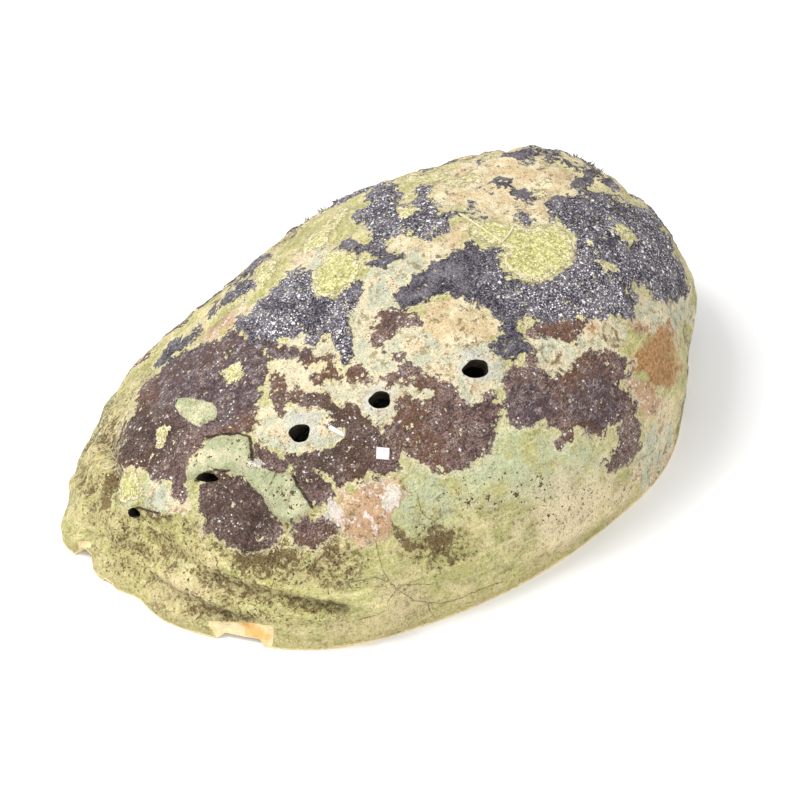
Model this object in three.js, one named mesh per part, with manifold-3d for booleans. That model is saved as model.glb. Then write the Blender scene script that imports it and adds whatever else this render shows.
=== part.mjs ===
// Abalone shell: one hollow, ear-shaped dome that lies on its margin, with a row of breathing holes.
// Millimetres, +Z up. +X points to the spire end, -X to the growing lip, and the holes run along the -Y side.
// The origin is the middle of the bottom of the shell's box.
import * as THREE from "three";
import { mergeVertices } from "three/addons/utils/BufferGeometryUtils.js";
import Module from "manifold-3d";

const wasm = await Module();
wasm.setup();

// Driving dimensions of the dome
const halfLength = 75;
const halfWidth = 52.2;
const domeHeight = 47.7;
const summit = { x: 12.3, y: 2 };

// The margin is an egg that narrows to the spire end and bows a little along its length.
const marginEgg = -0.063;
const marginBow = 0.02;

// Lobes and worn stretches of the margin: place round it in degrees, reach outwards, spread in degrees
const marginLobes = [
  { at: 137, reach: -1.1, spread: 7 },
  { at: 165, reach: 2.7, spread: 6 },
  { at: 189, reach: -2, spread: 5.5 },
  { at: 228, reach: 1.8, spread: 14 },
  { at: 297, reach: 1.5, spread: 11 },
  { at: 321, reach: -1.9, spread: 8 },
];

// Bites out of the margin: place and half width in degrees, lift of the edge, depth inwards
const marginBites = [
  { at: 173, halfWidth: 2.6, lift: 2.8, depth: 1 }, // the next hole, still an open notch
  { at: 181.5, halfWidth: 1.6, lift: 1, depth: 0.3 },
  { at: 213.5, halfWidth: 4, lift: 1.2, depth: 1 }, // the long chip
];
const biteEdge = 0.8; // degrees over which a bite starts
const liftFade = 9; // how far up the wall a lifted edge is felt
const plainEdge = 4; // the relief dies out over this width at the margin

// Exponents of the dome's section, as a mean, a part towards +X and a part towards +Y
const planFullness = [2.34, 0.61, -0.23];
const wallUprightness = [2.19, 0.79, -0.38];

// Wall thickness, and the flat inner lip that widens the margin on the holes' side
const wallAtMargin = 2.4;
const wallAtSummit = 3.2;
const innerLip = { at: 268, spread: 62, width: 5.5, rise: 10 };

// Holes in plan, oldest first: length along the row, width across it, mound round it, tilt of its mouth
const holes = [
  { x: -4.7, y: -30.9, length: 5.4, width: 3.9, mound: 0.9, tilt: 0 },
  { x: -23.7, y: -25, length: 4.3, width: 3.7, mound: 1, tilt: 0 },
  { x: -37.4, y: -18.5, length: 4.2, width: 3.8, mound: 1.1, tilt: 5 },
  { x: -53.5, y: -9.4, length: 4.6, width: 2, mound: 0, tilt: 38 },
  { x: -65.6, y: 0.5, length: 2.8, width: 2.1, mound: 0, tilt: 30 },
];
const moundRadius = 5.5;
const healedHoles = [
  { x: 10.7, y: -35.8 },
  { x: 25.6, y: -37.5 },
  { x: 40.5, y: -34.5 },
];
const healedRadius = 3;
const healedDip = 0.4;
const rowStart = { x: -75, y: 10 };
const rowRidge = { height: 0.8, width: 5.5, fadesFrom: 0.7 }; // it sinks away towards the spire

// Ledges over the two newest holes: crest lines in plan, easy towards the summit and steep towards the lip
const ledges = [
  { height: 2.5, crest: [[-60, -2], [-53.5, -7.6], [-49.5, -14.5], [-47.5, -21], [-44.5, -30]] },
  { height: 2, crest: [[-68.5, 8], [-64.6, 2.4], [-62, -5], [-58.5, -13]] },
];
const ledgeShape = { rise: 7.5, drop: 2.6, dent: 0.45, dentAt: 5.5, dentWidth: 4, taper: 0.3 };

// Spire: a low whorl whose seam winds out to the margin as a logarithmic spiral
const spire = {
  x: 51,
  y: 14,
  swell: 2.2,
  radius: 12,
  seamStart: 1.6,
  seamFade: 19,
  seamEnd: 27,
  seamGrowth: 0.36,
  seamDepth: 0.9,
  seamWidth: 1.9,
};

// Growth folds follow the lip. They are widest apart at the lip and run together at the inner lip.
const folds = {
  lipAt: 160,
  nearGathering: 3,
  farGathering: 1.1,
  least: 0.06,
  spacing: 11,
  height: 0.75,
  lean: 0.3,
  fade: 45,
};

// Broad swellings of the dome: height, then wave numbers and phases along X and Y
const swellings = [
  { height: 0.5, alongX: 0.12, alongY: 0.14, phaseX: 0.6, phaseY: 1.9 },
  { height: 0.35, alongX: 0.067, alongY: 0.083, phaseX: 2.1, phaseY: 0.9 },
];
const saddle = { x: 30, y: 21, height: -1.5, radius: 13 }; // between the spire and the summit

// Fuller and flatter parts of the wall at the spire end: place in degrees, distance up the wall, spreads
const wallForms = [
  { at: 330, up: 17, height: 1.4, spread: 14, tall: 9 },
  { at: 355, up: 35, height: -1.6, spread: 15, tall: 8 },
];

// Faceting: squares along each side of the net, sides of a hole, and steps along curves and in searches
const outerSquares = 56;
const innerSquares = 28;
const holeSides = 18;
const sectionSteps = 60;
const curveSteps = 160;
const searchSteps = 40;
const searchPace = 0.7;
const slopeStep = 0.01;
const punchReach = 9;

const degrees = THREE.MathUtils.degToRad;
const bell = (x) => Math.exp(-x * x);
const smooth = (from, to, x) => THREE.MathUtils.smoothstep(x, from, to);

// Degrees from one place round the margin to another, between -180 and 180
function turn(angle, place) {
  return THREE.MathUtils.euclideanModulo(THREE.MathUtils.radToDeg(angle) - place + 180, 360) - 180;
}

function planDistance(a, b) {
  return Math.hypot(a.x - b.x, a.y - b.y);
}

// 1 inside a bite, 0 outside
function biteShare(angle, bite) {
  const away = Math.abs(turn(angle, bite.at));
  return 1 - smooth(bite.halfWidth - biteEdge, bite.halfWidth + biteEdge, away);
}

function marginLift(angle) {
  return marginBites.reduce((sum, bite) => sum + bite.lift * biteShare(angle, bite), 0);
}

// The margin in plan, drawn in by an inset
function marginPoint(angle, inset) {
  const c = Math.cos(angle);
  const s = Math.sin(angle);
  const egg = new THREE.Vector2(
    halfLength * c,
    halfWidth * (s * (1 + marginEgg * c) + marginBow * (c * c - 0.5)),
  );
  let reach = -inset;
  for (const lobe of marginLobes) reach += lobe.reach * bell(turn(angle, lobe.at) / lobe.spread);
  for (const bite of marginBites) reach -= bite.depth * biteShare(angle, bite);
  return egg.add(egg.clone().normalize().multiplyScalar(reach));
}

function byBearing([mean, towardsX, towardsY], bearing) {
  return mean + towardsX * Math.cos(bearing) + towardsY * Math.sin(bearing);
}

// The dome's section as a function of the share of the plan distance, from 0 at the summit to 1 at the margin
function section(angle, inset, height) {
  const edge = marginPoint(angle, inset);
  const dx = edge.x - summit.x;
  const dy = edge.y - summit.y;
  const bearing = Math.atan2(dy, dx);
  const full = byBearing(planFullness, bearing);
  const upright = byBearing(wallUprightness, bearing);
  return (share) =>
    new THREE.Vector3(
      summit.x + share * dx,
      summit.y + share * dy,
      height * Math.max(0, 1 - share ** full) ** (1 / upright),
    );
}

// A point of the plain dome at a share of the section's length, and its distance up the wall from the margin
function domePoint(radius, angle, inset, height) {
  const pointAt = section(angle, inset, height);
  const shares = Array.from({ length: sectionSteps + 1 }, (_, i) => 1 - (1 - i / sectionSteps) ** 3);
  const points = shares.map(pointAt);
  const lengths = [0];
  for (let i = 1; i <= sectionSteps; i++) lengths.push(lengths[i - 1] + points[i].distanceTo(points[i - 1]));
  const total = lengths[sectionSteps];
  const wanted = radius * total;
  let i = 1;
  while (i < sectionSteps && lengths[i] < wanted) i++;
  const part = (wanted - lengths[i - 1]) / (lengths[i] - lengths[i - 1]);
  const share = THREE.MathUtils.lerp(shares[i - 1], shares[i], part);
  return { point: pointAt(share), fromMargin: total - wanted };
}

// The plain dome's outward direction, by differences along and across the section
function domeNormal(radius, angle) {
  const clear = Math.max(radius, 2 * slopeStep);
  const along = domePoint(Math.min(1, clear + slopeStep), angle, 0, domeHeight).point;
  along.sub(domePoint(clear - slopeStep, angle, 0, domeHeight).point);
  const across = domePoint(clear, angle + slopeStep, 0, domeHeight).point;
  across.sub(domePoint(clear, angle - slopeStep, 0, domeHeight).point);
  return along.cross(across).normalize();
}

// The radius and angle on the dome above a place in plan
function domePlace(x, y) {
  const bearing = Math.atan2(y - summit.y, x - summit.x);
  let angle = bearing;
  for (let i = 0; i < searchSteps; i++) {
    const edge = marginPoint(angle, 0);
    const miss = bearing - Math.atan2(edge.y - summit.y, edge.x - summit.x);
    angle += searchPace * Math.atan2(Math.sin(miss), Math.cos(miss));
  }
  let inner = 0;
  let outer = 1;
  const wanted = planDistance({ x, y }, summit);
  for (let i = 0; i < searchSteps; i++) {
    const middle = (inner + outer) / 2;
    const { point } = domePoint(middle, angle, 0, domeHeight);
    if (planDistance(point, summit) < wanted) inner = middle;
    else outer = middle;
  }
  return { radius: inner, angle };
}

// The row of holes in plan, from the lip towards the spire
const rowCurve = new THREE.CatmullRomCurve3(
  [rowStart, ...holes.toReversed(), ...healedHoles].map(({ x, y }) => new THREE.Vector3(x, y, 0)),
);
const rowPoints = rowCurve.getSpacedPoints(curveSteps);

function nearestIndex(points, place) {
  return points.reduce((best, p, i) => (p.distanceTo(place) < points[best].distanceTo(place) ? i : best), 0);
}

// Unit vectors along the row towards the lip, and across it towards the summit, at a hole
for (const hole of holes) {
  const nearest = nearestIndex(rowPoints, new THREE.Vector3(hole.x, hole.y, 0));
  hole.along = rowPoints[nearest - 2].clone().sub(rowPoints[nearest + 2]).normalize();
  hole.across = new THREE.Vector3(hole.along.y, -hole.along.x, 0);
}

function rowRelief(point) {
  const flat = point.clone().setZ(0);
  const nearest = nearestIndex(rowPoints, flat);
  const fade = 1 - smooth(rowRidge.fadesFrom, 1, nearest / (rowPoints.length - 1));
  return rowRidge.height * fade * bell(rowPoints[nearest].distanceTo(flat) / rowRidge.width);
}

// A low mound round each older hole, and a shallow scar over each healed one
function holeRelief(point) {
  let relief = 0;
  for (const hole of holes) relief += hole.mound * bell(planDistance(point, hole) / moundRadius);
  for (const hole of healedHoles) relief -= healedDip * bell(planDistance(point, hole) / healedRadius);
  return relief;
}

for (const ledge of ledges) {
  const corners = ledge.crest.map(([x, y]) => new THREE.Vector3(x, y, 0));
  ledge.points = new THREE.CatmullRomCurve3(corners).getSpacedPoints(curveSteps);
}

// A ledge stands highest along its crest and dies out at both ends, with a dent under its steep side
function ledgeRelief(point) {
  const flat = point.clone().setZ(0);
  let relief = 0;
  for (const { height, points } of ledges) {
    const last = points.length - 1;
    const nearest = nearestIndex(points, flat);
    const ahead = points[Math.min(last, nearest + 1)].clone().sub(points[Math.max(0, nearest - 1)]);
    const side = Math.sign(ahead.cross(flat.clone().sub(points[nearest])).z);
    const away = side * points[nearest].distanceTo(flat); // positive on the summit side
    const toEnd = Math.min(nearest, last - nearest) / last;
    const taper = smooth(0, ledgeShape.taper, toEnd);
    const crest = bell(away / (away > 0 ? ledgeShape.rise : ledgeShape.drop));
    const dent = ledgeShape.dent * bell((away + ledgeShape.dentAt) / ledgeShape.dentWidth);
    relief += height * taper * (crest - dent);
  }
  return relief;
}

// The seam that winds out of the spire
function seamRelief(point) {
  const dx = point.x - spire.x;
  const dy = point.y - spire.y;
  const distance = planDistance(point, spire);
  if (distance < spire.seamStart || distance > spire.seamEnd) return 0;
  const wound = Math.log(distance / spire.seamStart) / spire.seamGrowth;
  const lag = Math.atan2(dy, dx) + wound;
  const gap = distance * spire.seamGrowth * Math.atan2(Math.sin(lag), Math.cos(lag));
  const fade = 1 - smooth(spire.seamFade, spire.seamEnd, distance);
  return -spire.seamDepth * fade * bell(gap / spire.seamWidth);
}

function foldRelief(angle, fromMargin) {
  const lipward = 0.5 + 0.5 * Math.cos(angle - degrees(folds.lipAt));
  const gathering = turn(angle, folds.lipAt) > 0 ? folds.nearGathering : folds.farGathering;
  const spread = Math.max(folds.least, lipward ** gathering);
  const age = fromMargin / spread;
  const turns = (2 * Math.PI * age) / folds.spacing;
  const wave = Math.sin(turns) + folds.lean * Math.sin(2 * turns);
  return folds.height * Math.sqrt(spread) * Math.exp(-age / folds.fade) * wave;
}

function swellingRelief({ x, y }) {
  const waves = swellings.map((s) => Math.sin(s.alongX * x + s.phaseX) * Math.sin(s.alongY * y + s.phaseY));
  return waves.reduce((sum, wave, i) => sum + wave * swellings[i].height, 0);
}

// Forms of the whole wall, felt inside as well: the spire, its saddle, and the fuller and flatter parts
function wallRelief(point, angle, fromMargin) {
  let relief = spire.swell * bell(planDistance(point, spire) / spire.radius);
  relief += saddle.height * bell(planDistance(point, saddle) / saddle.radius);
  for (const form of wallForms) {
    const along = bell(turn(angle, form.at) / form.spread);
    relief += form.height * along * bell((fromMargin - form.up) / form.tall);
  }
  return relief;
}

function lifted(point, angle, fromMargin) {
  point.z = Math.max(0, point.z) + marginLift(angle) * Math.max(0, 1 - fromMargin / liftFade);
  return point;
}

function outerPoint(radius, angle) {
  const { point, fromMargin } = domePoint(radius, angle, 0, domeHeight);
  let relief = wallRelief(point, angle, fromMargin) + swellingRelief(point) + foldRelief(angle, fromMargin);
  relief += rowRelief(point) + holeRelief(point) + ledgeRelief(point) + seamRelief(point);
  point.addScaledVector(domeNormal(radius, angle), relief * smooth(0, plainEdge, fromMargin));
  return lifted(point, angle, fromMargin);
}

// The inside is the same dome, drawn in by the wall, with the inner lip's shelf along its foot
function innerPoint(radius, angle) {
  const { point, fromMargin } = domePoint(radius, angle, wallAtMargin, domeHeight - wallAtSummit);
  const relief = wallRelief(point, angle, fromMargin) * smooth(0, plainEdge, fromMargin);
  point.addScaledVector(domeNormal(radius, angle), relief);
  const shelf = innerLip.width * bell(turn(angle, innerLip.at) / innerLip.spread);
  const foot = Math.max(0, 1 - fromMargin / innerLip.rise) ** 2;
  const inward = new THREE.Vector3(summit.x - point.x, summit.y - point.y, 0).normalize();
  point.addScaledVector(inward, shelf * foot);
  return lifted(point, angle, fromMargin);
}

// A square of the net wrapped to a disc: rings of squares become rings of the dome
function discPlace(u, v) {
  const radius = Math.max(Math.abs(u), Math.abs(v));
  if (radius === 0) return { radius, angle: 0 };
  const quarter = Math.PI / 4;
  if (Math.abs(u) >= Math.abs(v)) return { radius, angle: quarter * (v / u) + (u < 0 ? Math.PI : 0) };
  return { radius, angle: 2 * quarter - quarter * (u / v) + (v < 0 ? Math.PI : 0) };
}

// One side of the shell as a square net, with its edge listed anticlockwise from a corner
function net(squares, pointAt, start) {
  const points = [];
  const faces = [];
  const at = (i, j) => start + i * (squares + 1) + j;
  for (let i = 0; i <= squares; i++) {
    for (let j = 0; j <= squares; j++) {
      const { radius, angle } = discPlace((2 * i) / squares - 1, (2 * j) / squares - 1);
      points.push(pointAt(radius, angle));
      if (i === squares || j === squares) continue;
      const [a, b, c, d] = [at(i, j), at(i + 1, j), at(i + 1, j + 1), at(i, j + 1)];
      const sameSign = (2 * i + 1 - squares) * (2 * j + 1 - squares) > 0;
      // each square is split towards the middle of the net
      if (sameSign) faces.push([a, b, c], [a, c, d]);
      else faces.push([a, b, d], [b, c, d]);
    }
  }
  const edge = [];
  for (let k = 0; k < squares; k++) edge.push(at(k, 0));
  for (let k = 0; k < squares; k++) edge.push(at(squares, k));
  for (let k = squares; k > 0; k--) edge.push(at(k, squares));
  for (let k = squares; k > 0; k--) edge.push(at(0, k));
  return { points, faces, edge };
}

// Outside, inside and the underside of the margin between them, as one closed surface
function shellGeometry() {
  const outside = net(outerSquares, outerPoint, 0);
  const inside = net(innerSquares, innerPoint, outside.points.length);
  const faces = [...outside.faces, ...inside.faces.map(([a, b, c]) => [a, c, b])];
  const each = outside.edge.length / inside.edge.length;
  inside.edge.forEach((from, k) => {
    const to = inside.edge[(k + 1) % inside.edge.length];
    const outer = outside.edge.slice(k * each, (k + 1) * each);
    outer.push(outside.edge[((k + 1) * each) % outside.edge.length]);
    const half = Math.floor(each / 2);
    for (let i = 0; i < each; i++) faces.push([outer[i], i < half ? from : to, outer[i + 1]]);
    faces.push([outer[half], from, to]);
  });
  const points = [...outside.points, ...inside.points];
  return new THREE.BufferGeometry().setFromPoints(points).setIndex(faces.flat());
}

function toSolid(geometry) {
  geometry.deleteAttribute("normal");
  geometry.deleteAttribute("uv");
  const merged = mergeVertices(geometry);
  return new wasm.Manifold(
    new wasm.Mesh({
      numProp: 3,
      vertProperties: merged.attributes.position.array,
      triVerts: new Uint32Array(merged.index.array),
    }),
  );
}

function toGeometry(solid) {
  const { vertProperties, triVerts } = solid.getMesh();
  return new THREE.BufferGeometry()
    .setAttribute("position", new THREE.BufferAttribute(vertProperties, 3))
    .setIndex(new THREE.BufferAttribute(triVerts, 1));
}

// An oval punch through the wall at a hole, its mouth tilted away from the summit
function holePunch(hole) {
  const { radius, angle } = domePlace(hole.x, hole.y);
  const seat = domePoint(radius, angle, 0, domeHeight).point;
  const tilt = degrees(hole.tilt);
  const axis = domeNormal(radius, angle).multiplyScalar(Math.cos(tilt));
  axis.addScaledVector(hole.across, -Math.sin(tilt)).normalize();
  const along = hole.along.clone().addScaledVector(axis, -hole.along.dot(axis)).normalize();
  const punch = new THREE.CylinderGeometry(1, 1, 2 * punchReach, holeSides);
  punch.scale(hole.length / 2, 1, hole.width / 2);
  punch.applyMatrix4(new THREE.Matrix4().makeBasis(along, axis, along.clone().cross(axis)).setPosition(seat));
  return toSolid(punch);
}

const pierced = holes.reduce((solid, hole) => solid.subtract(holePunch(hole)), toSolid(shellGeometry()));
const geometry = toGeometry(pierced);
geometry.computeBoundingBox();
const middle = geometry.boundingBox.getCenter(new THREE.Vector3());
geometry.translate(-middle.x, -middle.y, -geometry.boundingBox.min.z);
geometry.computeVertexNormals();

const crust = new THREE.MeshStandardMaterial({ color: 0xa3a06a, roughness: 0.85, metalness: 0 });
const shell = new THREE.Mesh(geometry, crust);
shell.name = "shell";

const abalone = new THREE.Group();
abalone.add(shell);

export default abalone;
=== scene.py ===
import math

import bpy
import numpy as np
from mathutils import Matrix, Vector, noise
from mathutils.bvhtree import BVHTree
from mathutils.kdtree import KDTree


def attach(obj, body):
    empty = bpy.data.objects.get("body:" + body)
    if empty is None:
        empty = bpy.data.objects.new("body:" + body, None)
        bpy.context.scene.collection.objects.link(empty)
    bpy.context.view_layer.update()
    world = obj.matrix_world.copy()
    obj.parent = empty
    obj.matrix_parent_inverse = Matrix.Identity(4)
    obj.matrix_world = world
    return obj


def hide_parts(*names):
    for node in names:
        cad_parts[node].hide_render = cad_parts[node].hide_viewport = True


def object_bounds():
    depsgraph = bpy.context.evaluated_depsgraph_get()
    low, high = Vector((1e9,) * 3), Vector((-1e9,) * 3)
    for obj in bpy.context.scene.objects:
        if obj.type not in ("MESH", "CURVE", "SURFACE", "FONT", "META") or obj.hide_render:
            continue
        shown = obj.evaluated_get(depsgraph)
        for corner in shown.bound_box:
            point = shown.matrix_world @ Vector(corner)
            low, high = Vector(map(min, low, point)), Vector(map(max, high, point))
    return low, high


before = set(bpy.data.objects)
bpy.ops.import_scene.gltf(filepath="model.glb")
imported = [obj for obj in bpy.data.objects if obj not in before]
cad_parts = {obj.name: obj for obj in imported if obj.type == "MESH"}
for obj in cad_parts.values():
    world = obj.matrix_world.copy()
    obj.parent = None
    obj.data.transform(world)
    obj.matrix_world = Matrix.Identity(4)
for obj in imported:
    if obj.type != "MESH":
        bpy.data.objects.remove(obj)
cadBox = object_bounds()
mm = 0.001

# the view that the patches were read in: angles in degrees, lengths in mm, places in pixels
photoView = {
    "azimuth": -38.4,
    "elevation": 40.3,
    "fieldOfView": 20,
    "target": (0, 0, 20),
    "distance": 479,
    "side": 800,
    "middle": (395.3, 357.7),  # where the target shows
    "pixelsPerMm": 4.7,
    "reach": 60,  # how far from a line its distance is still told, in pixels
    "turnsAway": (0.02, 0.2),  # how squarely the wall faces the eye where the hidden side begins and ends
}

# the dome in mm, as in the part: +X to the spire end, holes along the -Y side
shellForm = {
    "halfLength": 75,
    "halfWidth": 52.2,
    "height": 47.7,
    "summit": (12.3, 2),
    "egg": -0.063,
    "bow": 0.02,
    # place round the margin in degrees, reach, spread in degrees
    "lobes": [
        (137, -1.1, 7), (165, 2.7, 6), (189, -2, 5.5), (228, 1.8, 14), (297, 1.5, 11), (321, -1.9, 8),
    ],
    # place, half width in degrees, lift, depth
    "bites": [(173, 2.6, 2.8, 1), (181.5, 1.6, 1, 0.3), (213.5, 4, 1.2, 1)],
    "biteEdge": 0.8,
    "liftFade": 9,
    "plainEdge": 4,
    "fullness": (2.34, 0.61, -0.23),  # mean, part towards +X, part towards +Y
    "uprightness": (2.19, 0.79, -0.38),
    "wallAtMargin": 2.4,
    "wallAtSummit": 3.2,
    "innerLip": {"at": 268, "spread": 62, "width": 5.5, "rise": 10},
    "outerSquares": 272,
    "innerSquares": 136,
}

# x, y, length, width, mound, tilt in degrees, oldest first
breathingHoles = [
    (-4.7, -30.9, 5.4, 3.9, 0.9, 0),
    (-23.7, -25, 4.3, 3.7, 1, 0),
    (-37.4, -18.5, 4.2, 3.8, 1.1, 5),
    (-53.5, -9.4, 4.6, 2, 0, 38),
    (-65.6, 0.5, 2.8, 2.1, 0, 30),
]
healedHoles = [(10.7, -35.8), (25.6, -37.5), (40.5, -34.5)]

reliefForm = {
    "moundRadius": 5.5,
    "healedRadius": 3,
    "healedDip": 0.4,
    "rowStart": (-75, 10),
    "rowHeight": 0.8,
    "rowWidth": 5.5,
    "rowFadesFrom": 0.7,
    "ledges": [
        (2.5, [(-60, -2), (-53.5, -7.6), (-49.5, -14.5), (-47.5, -21), (-44.5, -30)]),
        (2, [(-68.5, 8), (-64.6, 2.4), (-62, -5), (-58.5, -13)]),
    ],
    "ledgeRise": 7.5,
    "ledgeDrop": 2.6,
    "ledgeDent": (0.45, 5.5, 4),  # share, place, width
    "ledgeTaper": 0.3,
    "spire": (51, 14),
    "spireSwell": (2.2, 12),
    "seam": {"start": 1.6, "fade": 19, "end": 27, "growth": 0.36, "depth": 0.9, "width": 1.9},
    "saddle": (30, 21, -1.5, 13),
    # place in degrees, distance up the wall, height, spread in degrees, spread up the wall
    "wallForms": [(330, 17, 1.4, 14, 9), (355, 35, -1.6, 15, 8)],
    "swellings": [(0.5, 0.12, 0.6, 0.14, 1.9), (0.35, 0.067, 2.1, 0.083, 0.9)],
    "folds": {
        "lipAt": 160, "near": 3, "far": 1.1, "least": 0.06,
        "spacing": 11, "height": 0.75, "lean": 0.3, "fade": 45,
    },
}


def bell(x):
    return np.exp(-x * x)


def smooth(low, high, x):
    t = np.clip((x - low) / (high - low), 0, 1)
    return t * t * (3 - 2 * t)


def turnFrom(angle, place):  # degrees, between -180 and 180
    return (np.degrees(angle) - place + 180) % 360 - 180


def awayFrom(p, place):  # seen from above
    return np.hypot(p[:, 0] - place[0], p[:, 1] - place[1])


def biteShare(angle, at, halfWidth):
    edge = shellForm["biteEdge"]
    return 1 - smooth(halfWidth - edge, halfWidth + edge, np.abs(turnFrom(angle, at)))


def marginLift(angle):
    return sum(lift * biteShare(angle, at, half) for at, half, lift, _ in shellForm["bites"])


def marginPoint(angle, inset):
    c, s = np.cos(angle), np.sin(angle)
    x = shellForm["halfLength"] * c
    y = shellForm["halfWidth"] * (s * (1 + shellForm["egg"] * c) + shellForm["bow"] * (c * c - 0.5))
    reach = -inset
    reach = reach + sum(out * bell(turnFrom(angle, at) / spread) for at, out, spread in shellForm["lobes"])
    reach = reach - sum(depth * biteShare(angle, at, half) for at, half, _, depth in shellForm["bites"])
    grow = 1 + reach / np.hypot(x, y)
    return x * grow, y * grow


# a point of the plain dome at a share of the way from summit to margin, and its distance up the wall
def domePoint(radius, angle, inset, height):
    steps = 60
    summitX, summitY = shellForm["summit"]
    edgeX, edgeY = marginPoint(angle, inset)
    dx, dy = (edgeX - summitX)[:, None], (edgeY - summitY)[:, None]
    bearing = np.arctan2(dy, dx)
    full, upright = (
        mean + toX * np.cos(bearing) + toY * np.sin(bearing)
        for mean, toX, toY in (shellForm["fullness"], shellForm["uprightness"])
    )

    def at(share):
        z = height * np.maximum(0, 1 - share ** full) ** (1 / upright)
        return np.stack([summitX + share * dx, summitY + share * dy, z], -1)

    shares = 1 - (1 - np.arange(steps + 1) / steps) ** 3
    hops = np.linalg.norm(np.diff(at(np.broadcast_to(shares, (len(angle), steps + 1))), axis=1), axis=2)
    lengths = np.concatenate([np.zeros((len(angle), 1)), np.cumsum(hops, 1)], 1)
    wanted = radius * lengths[:, -1]
    after = np.clip((lengths < wanted[:, None]).sum(1), 1, steps)
    rows = np.arange(len(angle))
    before = lengths[rows, after - 1]
    part = (wanted - before) / (lengths[rows, after] - before)
    share = shares[after - 1] + part * (shares[after] - shares[after - 1])
    return at(share[:, None])[:, 0], lengths[:, -1] - wanted


def domeNormal(radius, angle):
    step = 0.01
    clear = np.maximum(radius, 2 * step)
    height = shellForm["height"]
    along = domePoint(np.minimum(1, clear + step), angle, 0, height)[0]
    along -= domePoint(clear - step, angle, 0, height)[0]
    across = domePoint(clear, angle + step, 0, height)[0] - domePoint(clear, angle - step, 0, height)[0]
    normal = np.cross(along, across)
    return normal / np.linalg.norm(normal, axis=1)[:, None]


# a smooth line through given corners, in even steps
def smoothLine(corners, steps=160):
    p = np.array(corners, float)
    p = np.vstack([2 * p[0] - p[1], p, 2 * p[-1] - p[-2]])
    perCorner = 40
    t = np.linspace(0, 1, perCorner, endpoint=False)[:, None]
    runs = []
    for a, b, c, d in zip(p, p[1:], p[2:], p[3:]):
        bend, twist = 2 * a - 5 * b + 4 * c - d, 3 * b - a - 3 * c + d
        runs.append(0.5 * (2 * b + (c - a) * t + bend * t ** 2 + twist * t ** 3))
    line = np.vstack(runs + [p[-2:-1]])
    far = np.concatenate([[0], np.cumsum(np.linalg.norm(np.diff(line, axis=0), axis=1))])
    even = np.linspace(0, far[-1], steps + 1)
    return np.stack([np.interp(even, far, line[:, k]) for k in range(p.shape[1])], 1)


def nearestOnLine(places, line):
    index = np.empty(len(places), int)
    away = np.empty(len(places))
    batch = 8000  # points at a time, to spare memory
    for start in range(0, len(places), batch):
        piece = slice(start, start + batch)
        gaps = np.linalg.norm(places[piece, None, :] - line[None], axis=2)
        index[piece] = gaps.argmin(1)
        away[piece] = gaps.min(1)
    return index, away


# forms of the whole wall, felt inside as well
def wallRelief(p, angle, up):
    swell, radius = reliefForm["spireSwell"]
    relief = swell * bell(awayFrom(p, reliefForm["spire"]) / radius)
    x, y, height, radius = reliefForm["saddle"]
    relief += height * bell(awayFrom(p, (x, y)) / radius)
    for at, rise, height, spread, tall in reliefForm["wallForms"]:
        relief += height * bell(turnFrom(angle, at) / spread) * bell((up - rise) / tall)
    return relief


# the growth coordinate: how far back from the lip, with the lines run together at the inner lip
def growthAge(angle, up):
    f = reliefForm["folds"]
    lipward = 0.5 + 0.5 * np.cos(angle - math.radians(f["lipAt"]))
    gathering = np.where(turnFrom(angle, f["lipAt"]) > 0, f["near"], f["far"])
    spread = np.maximum(f["least"], lipward ** gathering)
    return up / spread, spread


def foldRelief(p, angle, up):
    f = reliefForm["folds"]
    age, spread = growthAge(angle, up)
    turns = 2 * np.pi * age / f["spacing"]
    wave = np.sin(turns) + f["lean"] * np.sin(2 * turns)
    relief = f["height"] * np.sqrt(spread) * np.exp(-age / f["fade"]) * wave
    for height, alongX, phaseX, alongY, phaseY in reliefForm["swellings"]:
        relief += height * np.sin(alongX * p[:, 0] + phaseX) * np.sin(alongY * p[:, 1] + phaseY)
    return relief


def holeRow():
    return smoothLine([reliefForm["rowStart"]] + [h[:2] for h in reversed(breathingHoles)] + healedHoles)


# the ridge that carries the holes, a mound round each open one and a dip at each healed one
def rowRelief(p):
    row = holeRow()
    index, away = nearestOnLine(p[:, :2], row)
    fade = 1 - smooth(reliefForm["rowFadesFrom"], 1, index / (len(row) - 1))
    relief = reliefForm["rowHeight"] * fade * bell(away / reliefForm["rowWidth"])
    for x, y, _, _, mound, _ in breathingHoles:
        relief += mound * bell(awayFrom(p, (x, y)) / reliefForm["moundRadius"])
    for place in healedHoles:
        relief -= reliefForm["healedDip"] * bell(awayFrom(p, place) / reliefForm["healedRadius"])
    return relief


def ledgeRelief(p):
    relief = np.zeros(len(p))
    dent, dentAt, dentWidth = reliefForm["ledgeDent"]
    for height, corners in reliefForm["ledges"]:
        crest = smoothLine(corners)
        index, away = nearestOnLine(p[:, :2], crest)
        ahead = np.gradient(crest, axis=0)[index]
        offset = p[:, :2] - crest[index]
        away = away * np.sign(ahead[:, 0] * offset[:, 1] - ahead[:, 1] * offset[:, 0])
        last = len(crest) - 1
        taper = smooth(0, reliefForm["ledgeTaper"], np.minimum(index, last - index) / last)
        slope = np.where(away > 0, reliefForm["ledgeRise"], reliefForm["ledgeDrop"])
        relief += height * taper * (bell(away / slope) - dent * bell((away + dentAt) / dentWidth))
    return relief


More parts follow.
